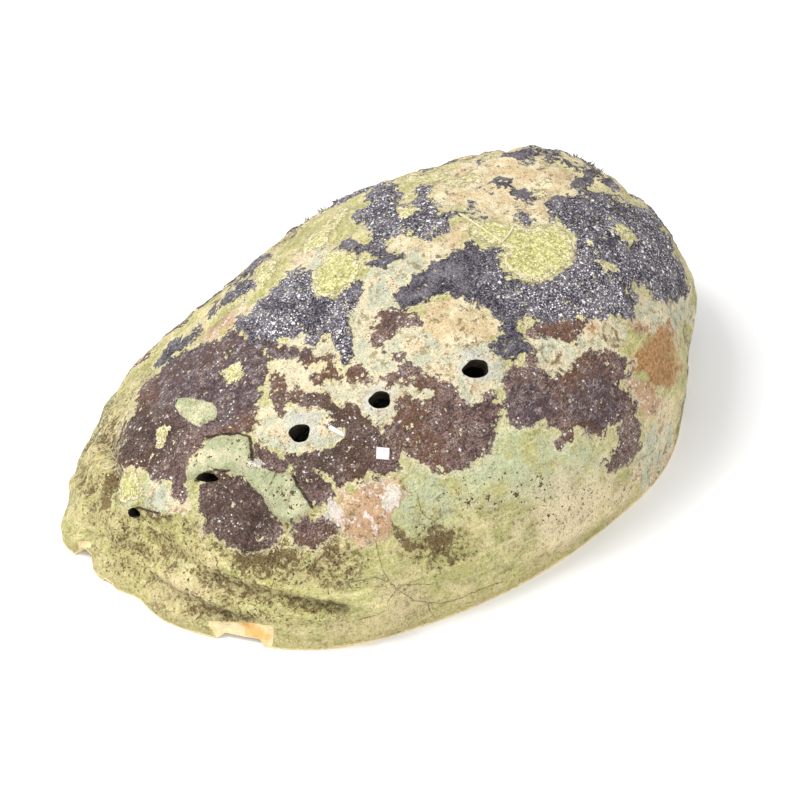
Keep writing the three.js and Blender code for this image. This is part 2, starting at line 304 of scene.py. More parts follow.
# depth of the spiral seam of the spire
def seamDepth(p):
    seam = reliefForm["seam"]
    dx, dy = p[:, 0] - reliefForm["spire"][0], p[:, 1] - reliefForm["spire"][1]
    far = np.maximum(np.hypot(dx, dy), 1e-6)
    lag = np.arctan2(dy, dx) + np.log(far / seam["start"]) / seam["growth"]
    gap = far * seam["growth"] * np.arctan2(np.sin(lag), np.cos(lag))
    inside = (far > seam["start"]) & (far < seam["end"])
    fade = 1 - smooth(seam["fade"], seam["end"], far)
    return inside * seam["depth"] * fade * bell(gap / seam["width"])


def outerRelief(p, angle, up):
    return foldRelief(p, angle, up) + rowRelief(p) + ledgeRelief(p) - seamDepth(p)


def lifted(p, angle, up):
    p[:, 2] = np.maximum(0, p[:, 2]) + marginLift(angle) * np.maximum(0, 1 - up / shellForm["liftFade"])
    return p


# a square net wrapped to a disc: rings of squares become rings of the dome
def discNet(squares):
    side = np.linspace(-1, 1, squares + 1)
    u, v = (a.ravel() for a in np.meshgrid(side, side, indexing="ij"))
    radius = np.maximum(np.abs(u), np.abs(v))
    wide = np.abs(u) >= np.abs(v)
    safeU, safeV = np.where(u == 0, 1, u), np.where(v == 0, 1, v)
    angle = np.where(
        wide,
        np.pi / 4 * v / safeU + np.where(u < 0, np.pi, 0),
        np.pi / 2 - np.pi / 4 * u / safeV + np.where(v < 0, np.pi, 0),
    )
    return radius, angle


# every square's corners, in an order that splits it towards the summit
def netFaces(squares, start):
    i, j = (a.ravel() for a in np.meshgrid(np.arange(squares), np.arange(squares), indexing="ij"))
    here = start + i * (squares + 1) + j
    beyond = here + squares + 1
    corners = np.stack([here, beyond, beyond + 1, here + 1], 1)
    crossed = (i + 0.5 - squares / 2) * (j + 0.5 - squares / 2) < 0
    corners[crossed] = np.roll(corners[crossed], 1, axis=1)
    return corners


def netEdge(squares, start):
    k = np.arange(squares)
    row = squares + 1
    return start + np.concatenate([k * row, squares * row + k, (squares - k) * row + squares, squares - k])


print("patches: reading the outlines")

# outlines of the crusts as they show in the photo, in its pixels
crustPatches = {
    "darkCrust": {
        "crown": [
            (544, 205), (558, 198), (570, 197), (577, 193), (571, 186), (579, 178), (589, 176),
            (592, 184), (588, 191), (613, 194), (620, 201), (634, 207), (650, 212), (668, 235),
            (676, 247), (673, 256), (681, 263), (688, 276), (690, 289), (685, 299), (670, 303),
            (658, 299), (647, 291), (636, 284), (631, 292), (637, 303), (635, 313), (622, 318),
            (604, 318), (585, 320), (565, 318), (545, 322), (530, 320), (519, 328), (521, 338),
            (528, 342), (527, 352), (516, 360), (504, 358), (486, 347), (501, 333), (502, 321),
            (488, 313), (470, 302), (463, 295), (451, 298), (437, 297), (428, 301), (422, 309),
            (400, 309), (396, 293), (408, 284), (413, 274), (422, 274), (430, 267), (443, 260),
            (450, 253), (462, 251), (464, 243), (470, 240), (478, 242), (482, 250), (494, 250),
            (501, 248), (508, 253), (500, 261), (502, 269), (509, 274), (525, 283), (534, 284),
            (551, 281), (559, 274), (567, 270), (574, 264), (576, 243), (570, 234), (564, 227),
            (551, 222), (553, 216),
        ],
        "topStrip": [
            (470, 158), (482, 152), (500, 150), (532, 147), (550, 148), (558, 152), (562, 160),
            (572, 166), (597, 171), (610, 180), (618, 188), (610, 190), (598, 182), (574, 170),
            (551, 160), (541, 155), (524, 161), (500, 156), (484, 157),
        ],
        "arch": [
            (481, 192), (493, 181), (509, 181), (516, 190), (537, 197), (536, 201), (517, 200),
            (504, 194), (480, 196),
        ],
        "saddle": [
            (352, 217), (357, 210), (364, 208), (367, 198), (372, 192), (394, 183), (400, 188),
            (401, 197), (398, 206), (403, 209), (414, 205), (420, 200), (414, 190), (420, 185),
            (436, 190), (428, 197), (438, 210), (466, 210), (469, 203), (474, 204), (471, 211),
            (486, 219), (478, 220), (458, 216), (450, 221), (448, 230), (433, 239), (421, 238),
            (402, 231), (386, 241), (378, 247), (368, 246), (372, 238), (366, 222), (357, 222),
        ],
        "underSaddle": [
            (337, 249), (342, 242), (350, 240), (358, 245), (368, 246), (378, 242), (386, 246),
            (386, 252), (404, 256), (402, 262), (386, 266), (374, 268), (366, 265), (378, 258),
            (370, 252), (362, 252), (360, 260), (352, 252),
        ],
        "shoulder": [
            (300, 272), (312, 269), (315, 280), (314, 290), (320, 296), (328, 292), (334, 300),
            (340, 296), (346, 302), (353, 322), (353, 335), (355, 358), (352, 372), (342, 368),
            (336, 344), (330, 337), (322, 338), (314, 344), (302, 332), (290, 342), (276, 340),
            (268, 344), (260, 340), (250, 344), (240, 332), (234, 328), (240, 320), (252, 316),
            (260, 300), (270, 296), (280, 282), (290, 276),
        ],
        "shoulderSide": [
            (350, 284), (360, 278), (362, 286), (354, 306), (358, 318), (352, 318), (344, 300),
            (338, 296),
        ],
        "edgeHigh": [(238, 277), (248, 261), (258, 254), (272, 253), (264, 268), (250, 280)],
        "edgeMiddle": [(219, 305), (228, 291), (240, 281), (252, 279), (259, 287), (242, 299), (230, 305)],
        "edgeLow": [
            (158, 366), (163, 351), (176, 341), (190, 335), (198, 325), (196, 338), (180, 353),
            (170, 366),
        ],
        "edgeTip": [(211, 318), (214, 306), (220, 297), (224, 300), (218, 310)],
        "streak": [(517, 210), (523, 212), (531, 226), (526, 227), (518, 215)],
    },
    "maroonCrust": {
        "backOfLip": [
            (171, 359), (186, 349), (196, 343), (219, 343), (226, 350), (250, 349), (262, 346),
            (266, 360), (266, 385), (258, 405), (258, 420), (250, 436), (208, 437), (205, 446),
            (190, 455), (189, 482), (182, 498), (172, 496), (166, 482), (150, 477), (140, 469),
            (126, 469), (115, 464), (114, 452), (122, 440), (124, 428), (136, 408), (137, 398),
            (144, 384), (159, 370),
        ],
        "underCrown": [
            (378, 310), (388, 306), (404, 310), (420, 312), (421, 326), (398, 330), (384, 342),
            (376, 346), (370, 342), (378, 322),
        ],
        "besideBand": [
            (307, 363), (316, 370), (326, 364), (338, 364), (344, 372), (338, 383), (322, 385),
            (312, 378),
        ],
        "underBand": [(345, 374), (350, 366), (362, 364), (371, 373), (366, 382), (350, 383)],
        "shoulderFoot": [
            (262, 346), (280, 346), (312, 350), (318, 356), (330, 356), (330, 362), (308, 366),
            (292, 356), (264, 360),
        ],
        "shoulderJoin": [
            (216, 345), (232, 329), (246, 336), (262, 337), (288, 343), (290, 351), (264, 354),
            (240, 354), (222, 352),
        ],
        "spur": [
            (268, 380), (276, 372), (283, 372), (286, 392), (280, 400), (290, 414), (280, 416),
            (272, 400), (266, 386),
        ],
        "diagonal": [
            (276, 398), (292, 391), (300, 390), (306, 396), (324, 392), (340, 404), (350, 404),
            (366, 414), (382, 432), (398, 450), (398, 470), (385, 478), (368, 478), (350, 484),
            (338, 490), (330, 478), (318, 474), (308, 462), (308, 456), (328, 448), (346, 438),
            (345, 430), (330, 424), (336, 420), (320, 404), (300, 402), (284, 402),
        ],
        "fleckHigh": [(383, 352), (392, 349), (405, 357), (405, 364), (394, 363)],
        "fleckLow": [(399, 366), (408, 362), (421, 365), (422, 377), (410, 380), (402, 375)],
        "fleckSide": [(405, 380), (420, 377), (439, 382), (441, 393), (424, 393), (412, 389)],
        "fleckHole": [(383, 378), (392, 373), (402, 378), (397, 386), (386, 385)],
        "belowHoles": [
            (400, 402), (408, 398), (418, 400), (430, 396), (440, 384), (448, 384), (464, 398),
            (470, 404), (486, 396), (494, 394), (500, 398), (503, 410), (494, 436), (488, 452),
            (468, 466), (445, 474), (420, 462), (404, 452), (388, 440), (386, 430), (400, 412),
        ],
        "underHealed": [
            (500, 376), (510, 366), (534, 368), (552, 374), (560, 374), (572, 366), (586, 354),
            (596, 350), (608, 352), (620, 356), (628, 364), (622, 384), (634, 400), (640, 424),
            (642, 444), (632, 460), (616, 472), (606, 472), (605, 464), (614, 448), (620, 440),
            (616, 424), (608, 424), (600, 440), (584, 434), (576, 430), (572, 444), (558, 444),
            (562, 432), (545, 424), (526, 428), (508, 424), (504, 400), (508, 396),
        ],
        "crownFoot": [(525, 332), (538, 320), (583, 320), (577, 350), (556, 343), (534, 338)],
        "redFleck": [(522, 346), (530, 344), (540, 360), (532, 366), (526, 362)],
        "underFlap": [
            (195, 489), (207, 478), (228, 471), (240, 474), (250, 480), (264, 496), (272, 512),
            (282, 526), (278, 541), (260, 549), (246, 553), (234, 547), (218, 539), (207, 530),
            (201, 510),
        ],
        "besideFlap": [
            (249, 444), (258, 442), (267, 447), (277, 451), (285, 466), (281, 475), (266, 475),
            (252, 465),
        ],
        "crevice": [
            (284, 455), (296, 453), (306, 457), (314, 467), (327, 480), (333, 492), (326, 502),
            (313, 505), (305, 500), (298, 484), (292, 470),
        ],
        "belowFlap": [
            (290, 524), (300, 520), (326, 520), (334, 524), (334, 532), (318, 544), (314, 550),
            (294, 542),
        ],
    },
    "limePatch": {
        "crown": [
            (482, 223), (495, 222), (508, 228), (516, 224), (527, 229), (550, 226), (560, 227),
            (568, 235), (574, 255), (571, 265), (546, 280), (526, 284), (510, 273), (503, 266),
            (501, 258), (507, 251), (500, 246), (485, 247), (468, 233), (470, 229),
        ],
        "saddle": [(397, 214), (399, 210), (409, 209), (423, 211), (419, 217), (407, 225), (400, 220)],
        "crownSpot": [(595, 262), (603, 262), (614, 264), (618, 272), (610, 278), (601, 272)],
        "crownBit": [(610, 232), (619, 225), (630, 231), (638, 242), (629, 248), (617, 241)],
        "crownFleck": [(585, 243), (592, 243), (593, 248), (586, 248)],
        "far": [
            (428, 172), (440, 170), (455, 178), (470, 174), (485, 176), (482, 182), (470, 184),
            (462, 189), (444, 184), (432, 186), (404, 184), (410, 178),
        ],
        "shoulder": [
            (316, 268), (330, 253), (342, 251), (350, 254), (362, 268), (360, 278), (346, 290),
            (334, 300), (318, 296), (313, 284),
        ],
        "edge": [(254, 280), (258, 268), (268, 262), (279, 262), (272, 282), (262, 287)],
        "lip": [(220, 373), (232, 365), (243, 362), (242, 380), (232, 384), (228, 380)],
        "lipSpot": [(155, 432), (160, 427), (174, 424), (170, 436), (163, 448), (157, 447)],
        "newestHole": [(116, 500), (118, 486), (122, 474), (130, 469), (138, 472), (142, 496), (132, 500)],
        "fringe": [(535, 192), (548, 192), (549, 198), (537, 199)],
        "ridge": [
            (300, 252), (306, 240), (322, 226), (340, 212), (350, 206), (348, 216), (330, 234),
            (322, 250),
        ],
    },
    "tanCrust": {
        "farField": [
            (430, 190), (440, 176), (470, 162), (500, 158), (530, 160), (556, 166), (572, 176),
            (568, 190), (545, 203), (549, 224), (520, 222), (500, 218), (486, 218), (470, 208),
            (455, 206), (438, 206),
        ],
        "saddle": [
            (387, 246), (396, 237), (433, 240), (449, 231), (450, 224), (466, 221), (471, 228),
            (461, 251), (441, 257), (423, 257), (420, 250), (397, 250),
        ],
        "underCrown": [
            (427, 304), (436, 297), (464, 296), (474, 310), (500, 318), (503, 325), (494, 343),
            (460, 345), (440, 345), (424, 333), (420, 322),
        ],
        "edge": [
            (196, 345), (205, 335), (228, 310), (244, 303), (257, 302), (256, 310), (238, 320),
            (233, 328), (208, 344),
        ],
        "low": [
            (332, 478), (338, 478), (352, 492), (368, 480), (390, 472), (398, 474), (410, 492),
            (398, 504), (390, 520), (396, 528), (384, 540), (374, 538), (360, 550), (346, 536),
            (330, 514), (332, 504), (340, 500),
        ],
        "spireEnd": [(622, 384), (632, 378), (645, 380), (660, 400), (658, 414), (646, 430), (637, 408)],
        "crownSpot": [(609, 233), (622, 237), (630, 236), (634, 246), (617, 243)],
        "crownFleck": [(600, 245), (607, 243), (620, 256), (612, 256)],
        "farEdge": [
            (562, 156), (578, 158), (600, 168), (622, 184), (645, 202), (640, 206), (620, 190),
            (600, 178), (575, 164),
        ],
        "pink": [(628, 323), (638, 321), (639, 332), (631, 334)],
    },
    "paleWear": {
        "besideSaddle": [(404, 252), (418, 250), (437, 261), (424, 274), (414, 275), (406, 268)],
        "column": [
            (376, 268), (392, 266), (404, 268), (410, 276), (400, 290), (394, 306), (382, 308),
            (376, 330), (360, 338), (353, 332), (352, 318), (362, 292),
        ],
        "middle": [
            (352, 336), (372, 346), (392, 334), (420, 330), (440, 345), (440, 372), (430, 376),
            (418, 366), (404, 364), (388, 352), (384, 356), (400, 374), (372, 372), (356, 364),
        ],
        "secondHole": [
            (326, 388), (352, 380), (370, 376), (392, 384), (412, 384), (432, 392), (408, 396),
            (400, 402), (384, 428), (372, 418), (358, 406), (340, 398),
        ],
        "thirdHole": [
            (262, 430), (264, 418), (270, 410), (280, 416), (296, 412), (304, 404), (324, 407),
            (331, 412), (328, 426), (344, 436), (328, 441), (304, 449), (278, 446), (260, 436),
        ],
        "mint": [(280, 364), (305, 366), (316, 380), (322, 384), (308, 394), (290, 390), (284, 376)],
        "shoulderFoot": [(292, 342), (300, 334), (312, 342), (334, 350), (330, 356), (304, 348)],
        "firstHole": [
            (440, 350), (456, 344), (480, 345), (498, 352), (502, 368), (498, 384), (486, 396),
            (470, 403), (456, 390), (440, 378),
        ],
        "firstHealed": [(532, 344), (552, 338), (572, 352), (575, 362), (556, 374), (538, 364)],
        "secondHealed": [
            (576, 345), (580, 335), (600, 326), (615, 326), (622, 332), (612, 350), (592, 346),
            (586, 356),
        ],
        "spireOval": [
            (641, 474), (645, 450), (656, 430), (667, 426), (672, 438), (666, 462), (652, 484),
            (643, 486),
        ],
        "newestHole": [(148, 499), (154, 489), (161, 485), (172, 498), (185, 503), (182, 507), (160, 507)],
        "ridge": [(300, 268), (302, 256), (324, 252), (326, 262), (314, 270)],
        "spireEnd": [(640, 304), (668, 304), (690, 300), (694, 320), (676, 328), (652, 330), (641, 320)],
    },
    "chalkSpot": {
        "beside": [(328, 512), (333, 505), (340, 505), (345, 512), (340, 520), (332, 519)],
        "strip": [(383, 485), (390, 482), (398, 488), (396, 504), (390, 516), (384, 506)],
        "dot": [(253, 461), (259, 461), (259, 467), (253, 467)],
        "nearChip": [(255, 523), (260, 525), (258, 531), (252, 529)],
    },
    "flap": {
        "overHole": [
            (206, 446), (214, 440), (238, 436), (249, 438), (252, 458), (258, 466), (278, 474),
            (290, 472), (302, 490), (312, 507), (306, 514), (290, 523), (274, 515), (262, 496),
            (246, 478), (226, 470), (206, 474), (196, 480), (188, 478), (187, 468), (200, 456),
        ],
        "boss": [
            (178, 408), (181, 400), (190, 399), (203, 401), (215, 405), (219, 410), (217, 419),
            (207, 425), (197, 427), (190, 422), (182, 415),
        ],
    },
    "orangeStain": {
        "spireEnd": [
            (655, 330), (664, 325), (674, 328), (673, 340), (680, 366), (670, 388), (650, 388),
            (648, 378), (630, 368), (632, 356), (645, 342),
        ],
        "crownFoot": [(585, 322), (592, 320), (596, 326), (592, 333)],
    },
    "brownDirt": {
        "low": [
            (358, 508), (366, 518), (392, 520), (410, 536), (402, 540), (424, 546), (426, 532),
            (432, 526), (440, 534), (454, 526), (455, 544), (448, 550), (456, 562), (450, 566),
            (436, 552), (408, 550), (396, 534),
        ],
        "tongue": [(604, 470), (614, 446), (622, 444), (634, 460), (626, 470), (614, 474)],
        # painted shadow, with some dirt, under the ledge of the newest hole
        "ledgeShadowAndDirt": [(140, 508), (150, 509), (163, 513), (180, 515), (176, 519), (160, 519), (150, 516)],
        "lipBand": [(104, 508), (104, 495), (114, 468), (118, 462), (124, 468), (113, 495), (113, 508)],
    },
    "brokenEdge": {
        "chip": [
            (204, 622), (225, 624), (250, 625), (273, 627), (271, 650), (262, 646), (245, 638),
            (230, 637), (218, 641),
        ],
        "notch": [(76, 541), (88, 541), (90, 547), (77, 548)],
        "besideNotch": [(84, 550), (91, 566), (99, 577), (94, 581), (86, 572)],
    },
}

# soft washes of colour: middle and half sizes of an oval, in the same pixels
colourWashes = {
    "mintWash": [(500, 465, 85, 45), (420, 500, 50, 40), (150, 495, 45, 18), (560, 470, 50, 40)],
    "tanWash": [
        (585, 510, 90, 45), (670, 400, 30, 70), (520, 185, 70, 40), (470, 320, 50, 40),
        (205, 465, 34, 20),
    ],
    "dirtWash": [
        (250, 560, 90, 45), (150, 545, 60, 45), (225, 605, 80, 22), (330, 565, 40, 30),
        (100, 490, 30, 40), (440, 545, 40, 30), (310, 530, 40, 30), (190, 400, 70, 50),
        (290, 610, 60, 20), (110, 442, 20, 40),
    ],
    "pitWash": [
        (500, 495, 70, 28), (600, 495, 40, 14), (545, 515, 50, 16), (290, 490, 40, 30),
        (230, 450, 40, 22),
    ],
    "speckWash": [
        (590, 270, 110, 75), (300, 310, 70, 50), (410, 215, 80, 40), (340, 330, 30, 40),
        (625, 222, 40, 40),
    ],
    "violetWash": [(595, 402, 30, 30), (528, 405, 30, 24), (215, 378, 65, 52), (262, 350, 60, 20)],
    "umberWash": [(238, 510, 45, 45), (330, 440, 55, 50), (262, 556, 40, 18), (150, 440, 40, 40)],
    "roseWash": [(368, 510, 45, 40), (640, 395, 30, 25), (212, 330, 40, 25), (634, 326, 14, 12)],
}

# hairline cracks, in the same pixels
cracks = [
    [(376, 545), (382, 570), (390, 582), (397, 590), (415, 602), (440, 604),
     (450, 601), (480, 590), (500, 582)],
    [(397, 590), (388, 600)],
    [(418, 496), (421, 512), (430, 520)],
    [(390, 586), (430, 585)],
    [(360, 620), (376, 614), (384, 608)],
    [(428, 603), (430, 612), (434, 617)],
    [(350, 583), (375, 577), (390, 584)],
    [(258, 499), (252, 526), (275, 535)],
]

# low folds of the near wall in the same pixels: height and half width in mm, then the line
wallFolds = [
    (1.1, 1.5, [(171, 531), (205, 553), (235, 572), (262, 584), (300, 590), (350, 599), (385, 606)]),
    (-1.1, 1.2, [(215, 578), (240, 588), (270, 595), (300, 602), (345, 609)]),
    (0.9, 1.5, [(127, 553), (165, 575), (202, 593), (240, 606), (280, 614), (320, 618)]),
    (-0.9, 1.1, [(150, 578), (190, 600), (215, 612), (250, 620)]),
    (0.6, 1.8, [(430, 572), (480, 564), (540, 548), (590, 526), (640, 488)]),
    (-0.5, 1.4, [(420, 588), (480, 578), (540, 560), (590, 538), (630, 512)]),
    (0.8, 1.6, [(84, 440), (96, 450), (104, 470), (108, 495), (104, 520)]),
    (-0.9, 1.1, [(96, 432), (110, 448), (116, 470), (118, 492)]),
    (0.6, 1.3, [(70, 480), (80, 490), (84, 515), (78, 540)]),
    (-0.6, 1, [(79, 470), (88, 484), (94, 505), (90, 532)]),
    (0.4, 0.5, [(158, 607), (176, 612), (195, 620), (206, 626)]),
    (-0.7, 1.3, [(250, 552), (275, 560), (300, 568), (330, 575)]),
]

# painted shadow lines in the dark gaps: round the flap over the fourth hole, under the ledge of the newest
# hole, and beside a fold
creviceShadowLines = [
    [(208, 437), (222, 434), (240, 434), (250, 437), (252, 448), (253, 460)],
    [(198, 481), (206, 475), (217, 471), (228, 471)],
    [(294, 476), (303, 492), (312, 507)],
    [(130, 510), (138, 507), (150, 511), (158, 513)],
]


def viewAxes():
    az, el = math.radians(photoView["azimuth"]), math.radians(photoView["elevation"])
    back = np.array([math.sin(az) * math.cos(el), -math.cos(az) * math.cos(el), math.sin(el)])
    right = np.array([math.cos(az), math.sin(az), 0])
    return back, right, np.cross(back, right)


def focalPixels():
    return photoView["side"] / 2 / math.tan(math.radians(photoView["fieldOfView"] / 2))


def eyePlace():
    return np.array(photoView["target"]) + viewAxes()[0] * photoView["distance"]


def toPixels(p):
    back, right, up = viewAxes()
    q = p - eyePlace()
    scale = focalPixels() / -(q @ back)
    middleX, middleY = photoView["middle"]
    return np.stack([middleX + scale * (q @ right), middleY - scale * (q @ up)], 1)


# distance to an outline in pixels, positive inside it
def insideBy(pixels, outline):
    reach = float(photoView["reach"])
    corners = np.array(outline, float)
    result = np.full(len(pixels), -reach)
    near = np.all((pixels > corners.min(0) - reach) & (pixels < corners.max(0) + reach), axis=1)
    p = pixels[near]
    best = np.full(len(p), reach)
    inside = np.zeros(len(p), bool)
    for a, b in zip(corners, np.roll(corners, -1, axis=0)):
        run = b - a
        t = np.clip(((p - a) @ run) / (run @ run), 0, 1)
        best = np.minimum(best, np.linalg.norm(p - a - t[:, None] * run, axis=1))
        crosses = (a[1] > p[:, 1]) != (b[1] > p[:, 1])
        rise = run[1] if run[1] else 1e-9
        inside ^= crosses & (p[:, 0] < a[0] + (p[:, 1] - a[1]) * run[0] / rise)
    result[near] = np.where(inside, best, -best)
    return result


# distance to the nearest line, signed by its side, so that a thin line stays sharp between vertices
def lineSides(pixels, linesDrawn):
    best = np.full(len(pixels), float(photoView["reach"]))
    signed = best.copy()
    for line in linesDrawn:
        for a, b in zip(np.array(line, float), np.array(line[1:], float)):
            run = b - a
            offset = pixels - a
            t = np.clip((offset @ run) / (run @ run), 0, 1)
            away = np.linalg.norm(offset - t[:, None] * run, axis=1)
            side = np.sign(run[0] * offset[:, 1] - run[1] * offset[:, 0])
            closer = away < best
            best = np.where(closer, away, best)
            signed = np.where(closer, side * away, signed)
    return best, signed


def lumps(p, size, seed, octaves=4):
    shift = Vector((seed * 17.3, seed * 5.9, seed * 11.1))  # each seed has its own part of the noise
    return np.array([noise.fractal(Vector(q) / size + shift, 1, 2.1, octaves) for q in p.tolist()])


# how the crusts run on round the side that the photo hides: size of the lumps, push towards covering,
# and the height on the wall where they are thickest, with its spread, in mm
hiddenCrusts = {
    "darkCrust": (15, -0.12, 44, 20),
    "maroonCrust": (13, -0.16, 26, 14),
    "limePatch": (9, -0.42, 38, 18),
    "tanCrust": (11, -0.3, 30, 18),
    "paleWear": (10, -0.2, 24, 18),
    "chalkSpot": (5, -0.75, 26, 16),
    "flap": (9, -3, 20, 10),
    "orangeStain": (10, -0.62, 22, 12),
    "brownDirt": (8, -0.4, 10, 10),
    "brokenEdge": (9, -3, 0, 5),
}
hiddenScale = 9  # mm of a crust's width to one step of the lumps
# size of the lumps, and the share of the wall that a wash covers
hiddenWashes = {
    "mintWash": (24, 0.5), "tanWash": (22, 0.45), "dirtWash": (16, 0.5), "pitWash": (14, 0.3),
    "speckWash": (18, 0.7), "violetWash": (14, 0.4), "umberWash": (14, 0.35), "roseWash": (15, 0.35),
}
washFade = (0.55, 1.25)  # where an oval starts and ends to fade, as a share of its half size


def paintFields(p, normal):
    pixels = toPixels(p)
    toEye = eyePlace() - p
    facing = np.einsum("ij,ij->i", normal, toEye) / np.linalg.norm(toEye, axis=1)
    seen = smooth(*photoView["turnsAway"], facing)
    perMm = photoView["pixelsPerMm"]
    fields = {}
    for seed, (kind, patches) in enumerate(crustPatches.items()):
        size, push, level, spread = hiddenCrusts[kind]
        inside = np.max([insideBy(pixels, outline) for outline in patches.values()], axis=0)
        offLevel = 1 - bell((p[:, 2] - level) / spread)
        guess = hiddenScale * (lumps(p, size, seed + 1) + push - 0.5 * offLevel)
        fields[kind] = seen * inside / perMm + (1 - seen) * guess
    for seed, (kind, ovals) in enumerate(colourWashes.items()):
        size, share = hiddenWashes[kind]
        shown = np.zeros(len(p))
        for x, y, halfX, halfY in ovals:
            far = np.hypot((pixels[:, 0] - x) / halfX, (pixels[:, 1] - y) / halfY)
            shown = np.maximum(shown, 1 - smooth(*washFade, far))
        guess = smooth(0.5 - share, 1.1 - share, 0.5 + lumps(p, size, seed + 31, 3))
        fields[kind] = seen * shown + (1 - seen) * guess
    fields["fold"] = np.zeros(len(p))
    for height, width, line in wallFolds:
        near, _ = lineSides(pixels, [line])
        fields["fold"] += seen * height * bell(near / perMm / width)
    for name, linesDrawn in (("crack", cracks), ("crevice", creviceShadowLines)):
        near, signed = lineSides(pixels, linesDrawn)
        fields[name + "Near"] = np.where(seen > 0.5, near, photoView["reach"]) / perMm
        fields[name + "Side"] = signed / perMm
    return fields


# how far each crust stands off the shell, and how wide its step is, in mm
crustThickness = {
    "darkCrust": 0.35, "maroonCrust": 0.22, "limePatch": 0.25, "tanCrust": 0.12,
    "flap": 1.1, "brokenEdge": -0.9,
}
crustStep = 0.4
crustLumps = {"size": 2.4, "height": 0.5, "broadSize": 8, "broadHeight": 0.5}


print("shell: building the fine dome")


def inSlices(function, radius, angle, *rest):
    n = 12000  # points at a time, to spare memory
    parts = [function(radius[k:k + n], angle[k:k + n], *rest) for k in range(0, len(radius), n)]
    if isinstance(parts[0], tuple):
        return tuple(np.concatenate(x) for x in zip(*parts))
    return np.concatenate(parts)


def outerShell():
    radius, angle = discNet(shellForm["outerSquares"])
    p, up = inSlices(domePoint, radius, angle, 0, shellForm["height"])
    normal = inSlices(domeNormal, radius, angle)
    plain = smooth(0, shellForm["plainEdge"], up)
    relief = wallRelief(p, angle, up) + outerRelief(p, angle, up)
    p = lifted(p + normal * (relief * plain)[:, None], angle, up)
    fields = paintFields(p, normal)
    age, spread = growthAge(angle, up)
    fields["growthLine"] = age * spread / np.maximum(spread, 0.45)
    fields["fromMargin"] = up
    fields["fromHole"] = np.min([awayFrom(p, hole) for hole in breathingHoles[:3]], axis=0)  # the pale ones
    fields["healedRing"] = np.min([awayFrom(p, hole) for hole in healedHoles[:2]], axis=0)  # the clear ones
    crust = np.zeros(len(p))
    for kind, thickness in crustThickness.items():
        crust += thickness * smooth(-crustStep, crustStep, fields[kind])
    rough = np.maximum(smooth(-1, 1, fields["darkCrust"]), 0.5 * smooth(-1, 1, fields["maroonCrust"]))
    small, broad = lumps(p, crustLumps["size"], 71), lumps(p, crustLumps["broadSize"], 72)
    crust += crustLumps["height"] * small * (0.4 + 0.6 * rough) + crustLumps["broadHeight"] * broad
    crust += fields["fold"]
    # height of the lumps and folds: the crust uses it for dirt in the hollows, for painted shade in the
    # hollows and for painted light on the ridges
    fields["hollow"] = small + broad + 0.7 * fields["fold"]
    p = p + normal * (crust * smooth(0.3, 3, up))[:, None]
    return p, fields


def innerShell():
    radius, angle = discNet(shellForm["innerSquares"])
    height = shellForm["height"] - shellForm["wallAtSummit"]
    p, up = inSlices(domePoint, radius, angle, shellForm["wallAtMargin"], height)
    normal = inSlices(domeNormal, radius, angle)
    p = p + normal * (wallRelief(p, angle, up) * smooth(0, shellForm["plainEdge"], up))[:, None]
    lip = shellForm["innerLip"]
    shelf = lip["width"] * bell(turnFrom(angle, lip["at"]) / lip["spread"])
    foot = np.maximum(0, 1 - up / lip["rise"]) ** 2
    inward = np.array(shellForm["summit"]) - p[:, :2]
    inward /= np.maximum(np.linalg.norm(inward, axis=1), 1e-6)[:, None]
    p[:, :2] += inward * (shelf * foot)[:, None]
    return lifted(p, angle, up)


outerPoints, fields = outerShell()
innerPoints = innerShell()
low, high = outerPoints.min(0), outerPoints.max(0)
cadMiddle = (np.array(cadBox[0]) + np.array(cadBox[1])) / 2 / mm
toFrame = np.array([cadMiddle[0] - (low[0] + high[0]) / 2, cadMiddle[1] - (low[1] + high[1]) / 2, 0])
print("shell: moved into the frame by", toFrame.round(3).tolist(), "mm")


def meshObject(name, points, faces, materials):
    mesh = bpy.data.meshes.new(name)
    mesh.from_pydata((np.asarray(points) * mm).tolist(), [], faces)
    for material in materials:
        mesh.materials.append(material)
    thing = bpy.data.objects.new(name, mesh)
    bpy.context.scene.collection.objects.link(thing)
    return thing


class Wire:  # a socket that takes part in sums
    def __init__(self, tree, socket=None):
        self.tree = tree
        self.socket = socket

    def node(self, kind, settings=(), inputs=(), output=0):
        made = self.tree.nodes.new(kind)
        for name, value in dict(settings).items():
            if name == "stops":
                while len(made.color_ramp.elements) < len(value):
                    made.color_ramp.elements.new(1)
                for stop, (place, colour) in zip(made.color_ramp.elements, value):
                    stop.position = place
                    stop.color = colour
            else:
                setattr(made, name, value)
        for name, value in dict(inputs).items():
            if isinstance(value, Wire):
                self.tree.links.new(value.socket, made.inputs[name])
            else:
                made.inputs[name].default_value = value
        return Wire(self.tree, made.outputs[output]) if made.outputs else None

    def other(self, output):  # another output of the same node
        return Wire(self.tree, self.socket.node.outputs[output])

    def math(self, operation, a, b):
        return self.node("ShaderNodeMath", {"operation": operation}, {0: a, 1: b})

    def __add__(self, other):
        return self.math("ADD", self, other)

    def __sub__(self, other):
        return self.math("SUBTRACT", self, other)

    def __rsub__(self, other):
        return self.math("SUBTRACT", other, self)

    def __mul__(self, other):
        return self.math("MULTIPLY", self, other)

    __radd__ = __add__
    __rmul__ = __mul__


def hue(code):  # a linear colour from a six-figure code
    parts = [int(code[i:i + 2], 16) / 255 for i in (0, 2, 4)]
    return tuple(c / 12.92 if c <= 0.04045 else ((c + 0.055) / 1.055) ** 2.4 for c in parts) + (1,)


def newMaterial(name):
    material = bpy.data.materials.new(name)
    material.use_nodes = True
    material.node_tree.nodes.clear()
    return material, Wire(material.node_tree)


def colourOf(value):
    return hue(value) if isinstance(value, str) else value


def mix(factor, a, b):
    inputs = {0: factor, 6: colourOf(a), 7: colourOf(b)}
    return factor.node("ShaderNodeMix", {"data_type": "RGBA"}, inputs, 2)


